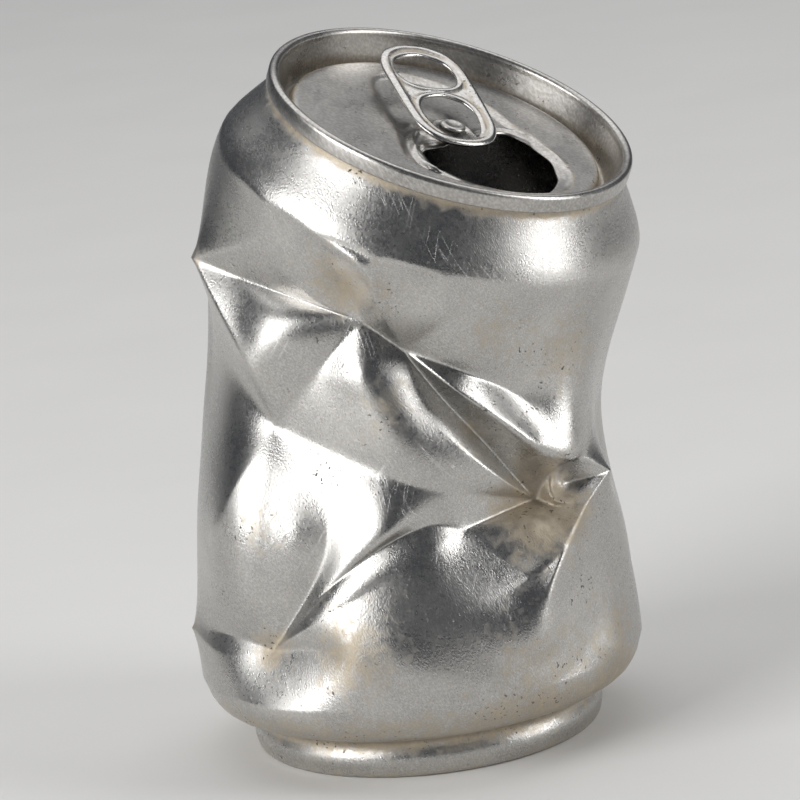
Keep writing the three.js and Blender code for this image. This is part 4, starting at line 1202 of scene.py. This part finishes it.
# %% Sealing compound and materials
def compound():
    """Grey rubber, dull and a little uneven."""
    m = Material("rubber")
    place = m.millimetres()
    uneven = m.noise(place, 0.7, detail=3)
    grey = m.mix(uneven, (0.1, 0.1, 0.105, 1), (0.22, 0.22, 0.22, 1))
    return m.finish(Base_Color=grey, Roughness=0.55 + uneven * 0.3, Normal=m.bump(uneven, 0.5, 0.05))


body_metal = aluminium("rubbed_body", dark=(0.42, 0.41, 0.395, 1), light=(0.5, 0.485, 0.46, 1),
                       roughness=0.28, grain_size=0.19, grain_depth=0.042, wear=1.0, dirt=1.0)
end_metal = aluminium("stamped_end", dark=(0.36, 0.345, 0.325, 1), light=(0.47, 0.45, 0.425, 1),
                      roughness=0.31, grain_size=0.35, grain_depth=0.02, wear=0.3, dirt=1.0)
tab_metal = aluminium("polished_tab", dark=(0.46, 0.445, 0.425, 1), light=(0.58, 0.56, 0.535, 1),
                      roughness=0.25, grain_size=0.4, grain_depth=0.018, wear=0.5, dirt=0.8)
body.data.materials.append(body_metal)
for piece in (bpy.data.objects[name] for name in ("end", "rivet", "torn_panel")):
    piece.data.materials.append(end_metal)
pull_tab.data.materials.append(tab_metal)
gasket = frame["nodes"]["seam_gasket"]
gasket.data.materials.clear()
gasket.data.materials.append(compound())
print("materials:", sorted(m.name for m in bpy.data.materials))

# %% [markdown]
# ## Floor
# The can stands on a large sheet of plain pale card, which also lights it softly from below.
# It has a faint unevenness, as card has, but no pattern that would show in the metal.

# %% Floor
FLOOR_REACH = 3.0             # metres from the can to each side


def floor():
    """A square of pale matt card."""
    m = Material("floor")
    place = m.millimetres()
    uneven = m.noise(place, 40, detail=2)
    card = m.mix(uneven, (0.78, 0.77, 0.75, 1), (0.82, 0.81, 0.79, 1))
    corners = [(x * FLOOR_REACH, y * FLOOR_REACH, 0) for x, y in ((-1, -1), (1, -1), (1, 1), (-1, 1))]
    mesh = bpy.data.meshes.new("floor")
    mesh.from_pydata(corners, [], [(0, 1, 2, 3)])
    mesh.materials.append(m.finish(Base_Color=card, Roughness=0.75 + uneven * 0.1))
    plane = bpy.data.objects.new("floor", mesh)
    bpy.context.scene.collection.objects.link(plane)
    return plane


floor()
print("floor is", 2 * FLOOR_REACH, "m wide")

# %% [markdown]
# ## Camera
# The camera is far away with a long lens, so the can's edges run nearly parallel. It looks down
# on the can a little and is rolled slightly.

# %% Camera
CAMERA_TARGET = np.array([0.71, 0, 49.53])
CAMERA_DISTANCE = 650
CAMERA_ELEVATION = math.radians(13.25)
CAMERA_ROLL = math.radians(-6.21)
CAMERA_LENS = 200


def camera():
    """Looks from the front at its target. Its own axes are the columns of its matrix."""
    towards = np.array([0, -math.cos(CAMERA_ELEVATION), math.sin(CAMERA_ELEVATION)])
    level = np.array([1.0, 0, 0])
    upright = np.cross(towards, level)
    right = math.cos(CAMERA_ROLL) * level + math.sin(CAMERA_ROLL) * upright
    lens = bpy.data.cameras.new("camera")
    lens.lens = CAMERA_LENS
    made = bpy.data.objects.new("camera", lens)
    place = (CAMERA_TARGET + CAMERA_DISTANCE * towards) * MM + SHIFT
    made.matrix_world = Matrix(np.column_stack([right, np.cross(towards, right), towards, place]).tolist()
                               + [[0, 0, 0, 1]])
    bpy.context.scene.collection.objects.link(made)
    bpy.context.scene.camera = made


camera()
print("camera is", CAMERA_DISTANCE, "mm from its target, with a", CAMERA_LENS, "mm lens")

# %% [markdown]
# ## Light
# Metal shows what is round it, so the lights are drawn as they should be seen in it: a broad
# soft box at the left, a narrower one at the right, darkness behind the camera between them,
# and a soft box overhead.

# %% Lights
LIT_POINT = Vector((0, 0, 0.05))      # middle of the can, in metres


def soft_box(name, azimuth, elevation, distance, size, brightness):
    """A rectangular light aimed at the can. Azimuth 0 is in front and 90 to the right."""
    azimuth, elevation = math.radians(azimuth), math.radians(elevation)
    lamp = bpy.data.lights.new(name, "AREA")
    lamp.shape = "RECTANGLE"
    lamp.size, lamp.size_y = size
    lamp.energy = brightness * math.pi * size[0] * size[1]
    made = bpy.data.objects.new(name, lamp)
    away = Vector((math.sin(azimuth) * math.cos(elevation), -math.cos(azimuth) * math.cos(elevation),
                   math.sin(elevation)))
    made.location = LIT_POINT + distance * away
    made.rotation_euler = away.to_track_quat("Z", "Y").to_euler()
    bpy.context.scene.collection.objects.link(made)


soft_box("left box", -58, 24, 1.1, (0.75, 0.9), 4.6)
soft_box("right box", 74, 22, 1.1, (0.42, 0.9), 4.6)
soft_box("top box", 180, 66, 1.6, (2.2, 1.6), 1.3)

# Dim, slightly blue surroundings fill the shadows, and Standard shows every tone as it is lit.
surroundings = bpy.data.worlds.new("surroundings")
surroundings.use_nodes = True
surroundings.node_tree.nodes["Background"].inputs["Color"].default_value = (0.07, 0.075, 0.085, 1)
bpy.context.scene.world = surroundings
bpy.context.scene.view_settings.view_transform = "Standard"
print("lights:", sorted(lamp.name for lamp in bpy.data.lights))
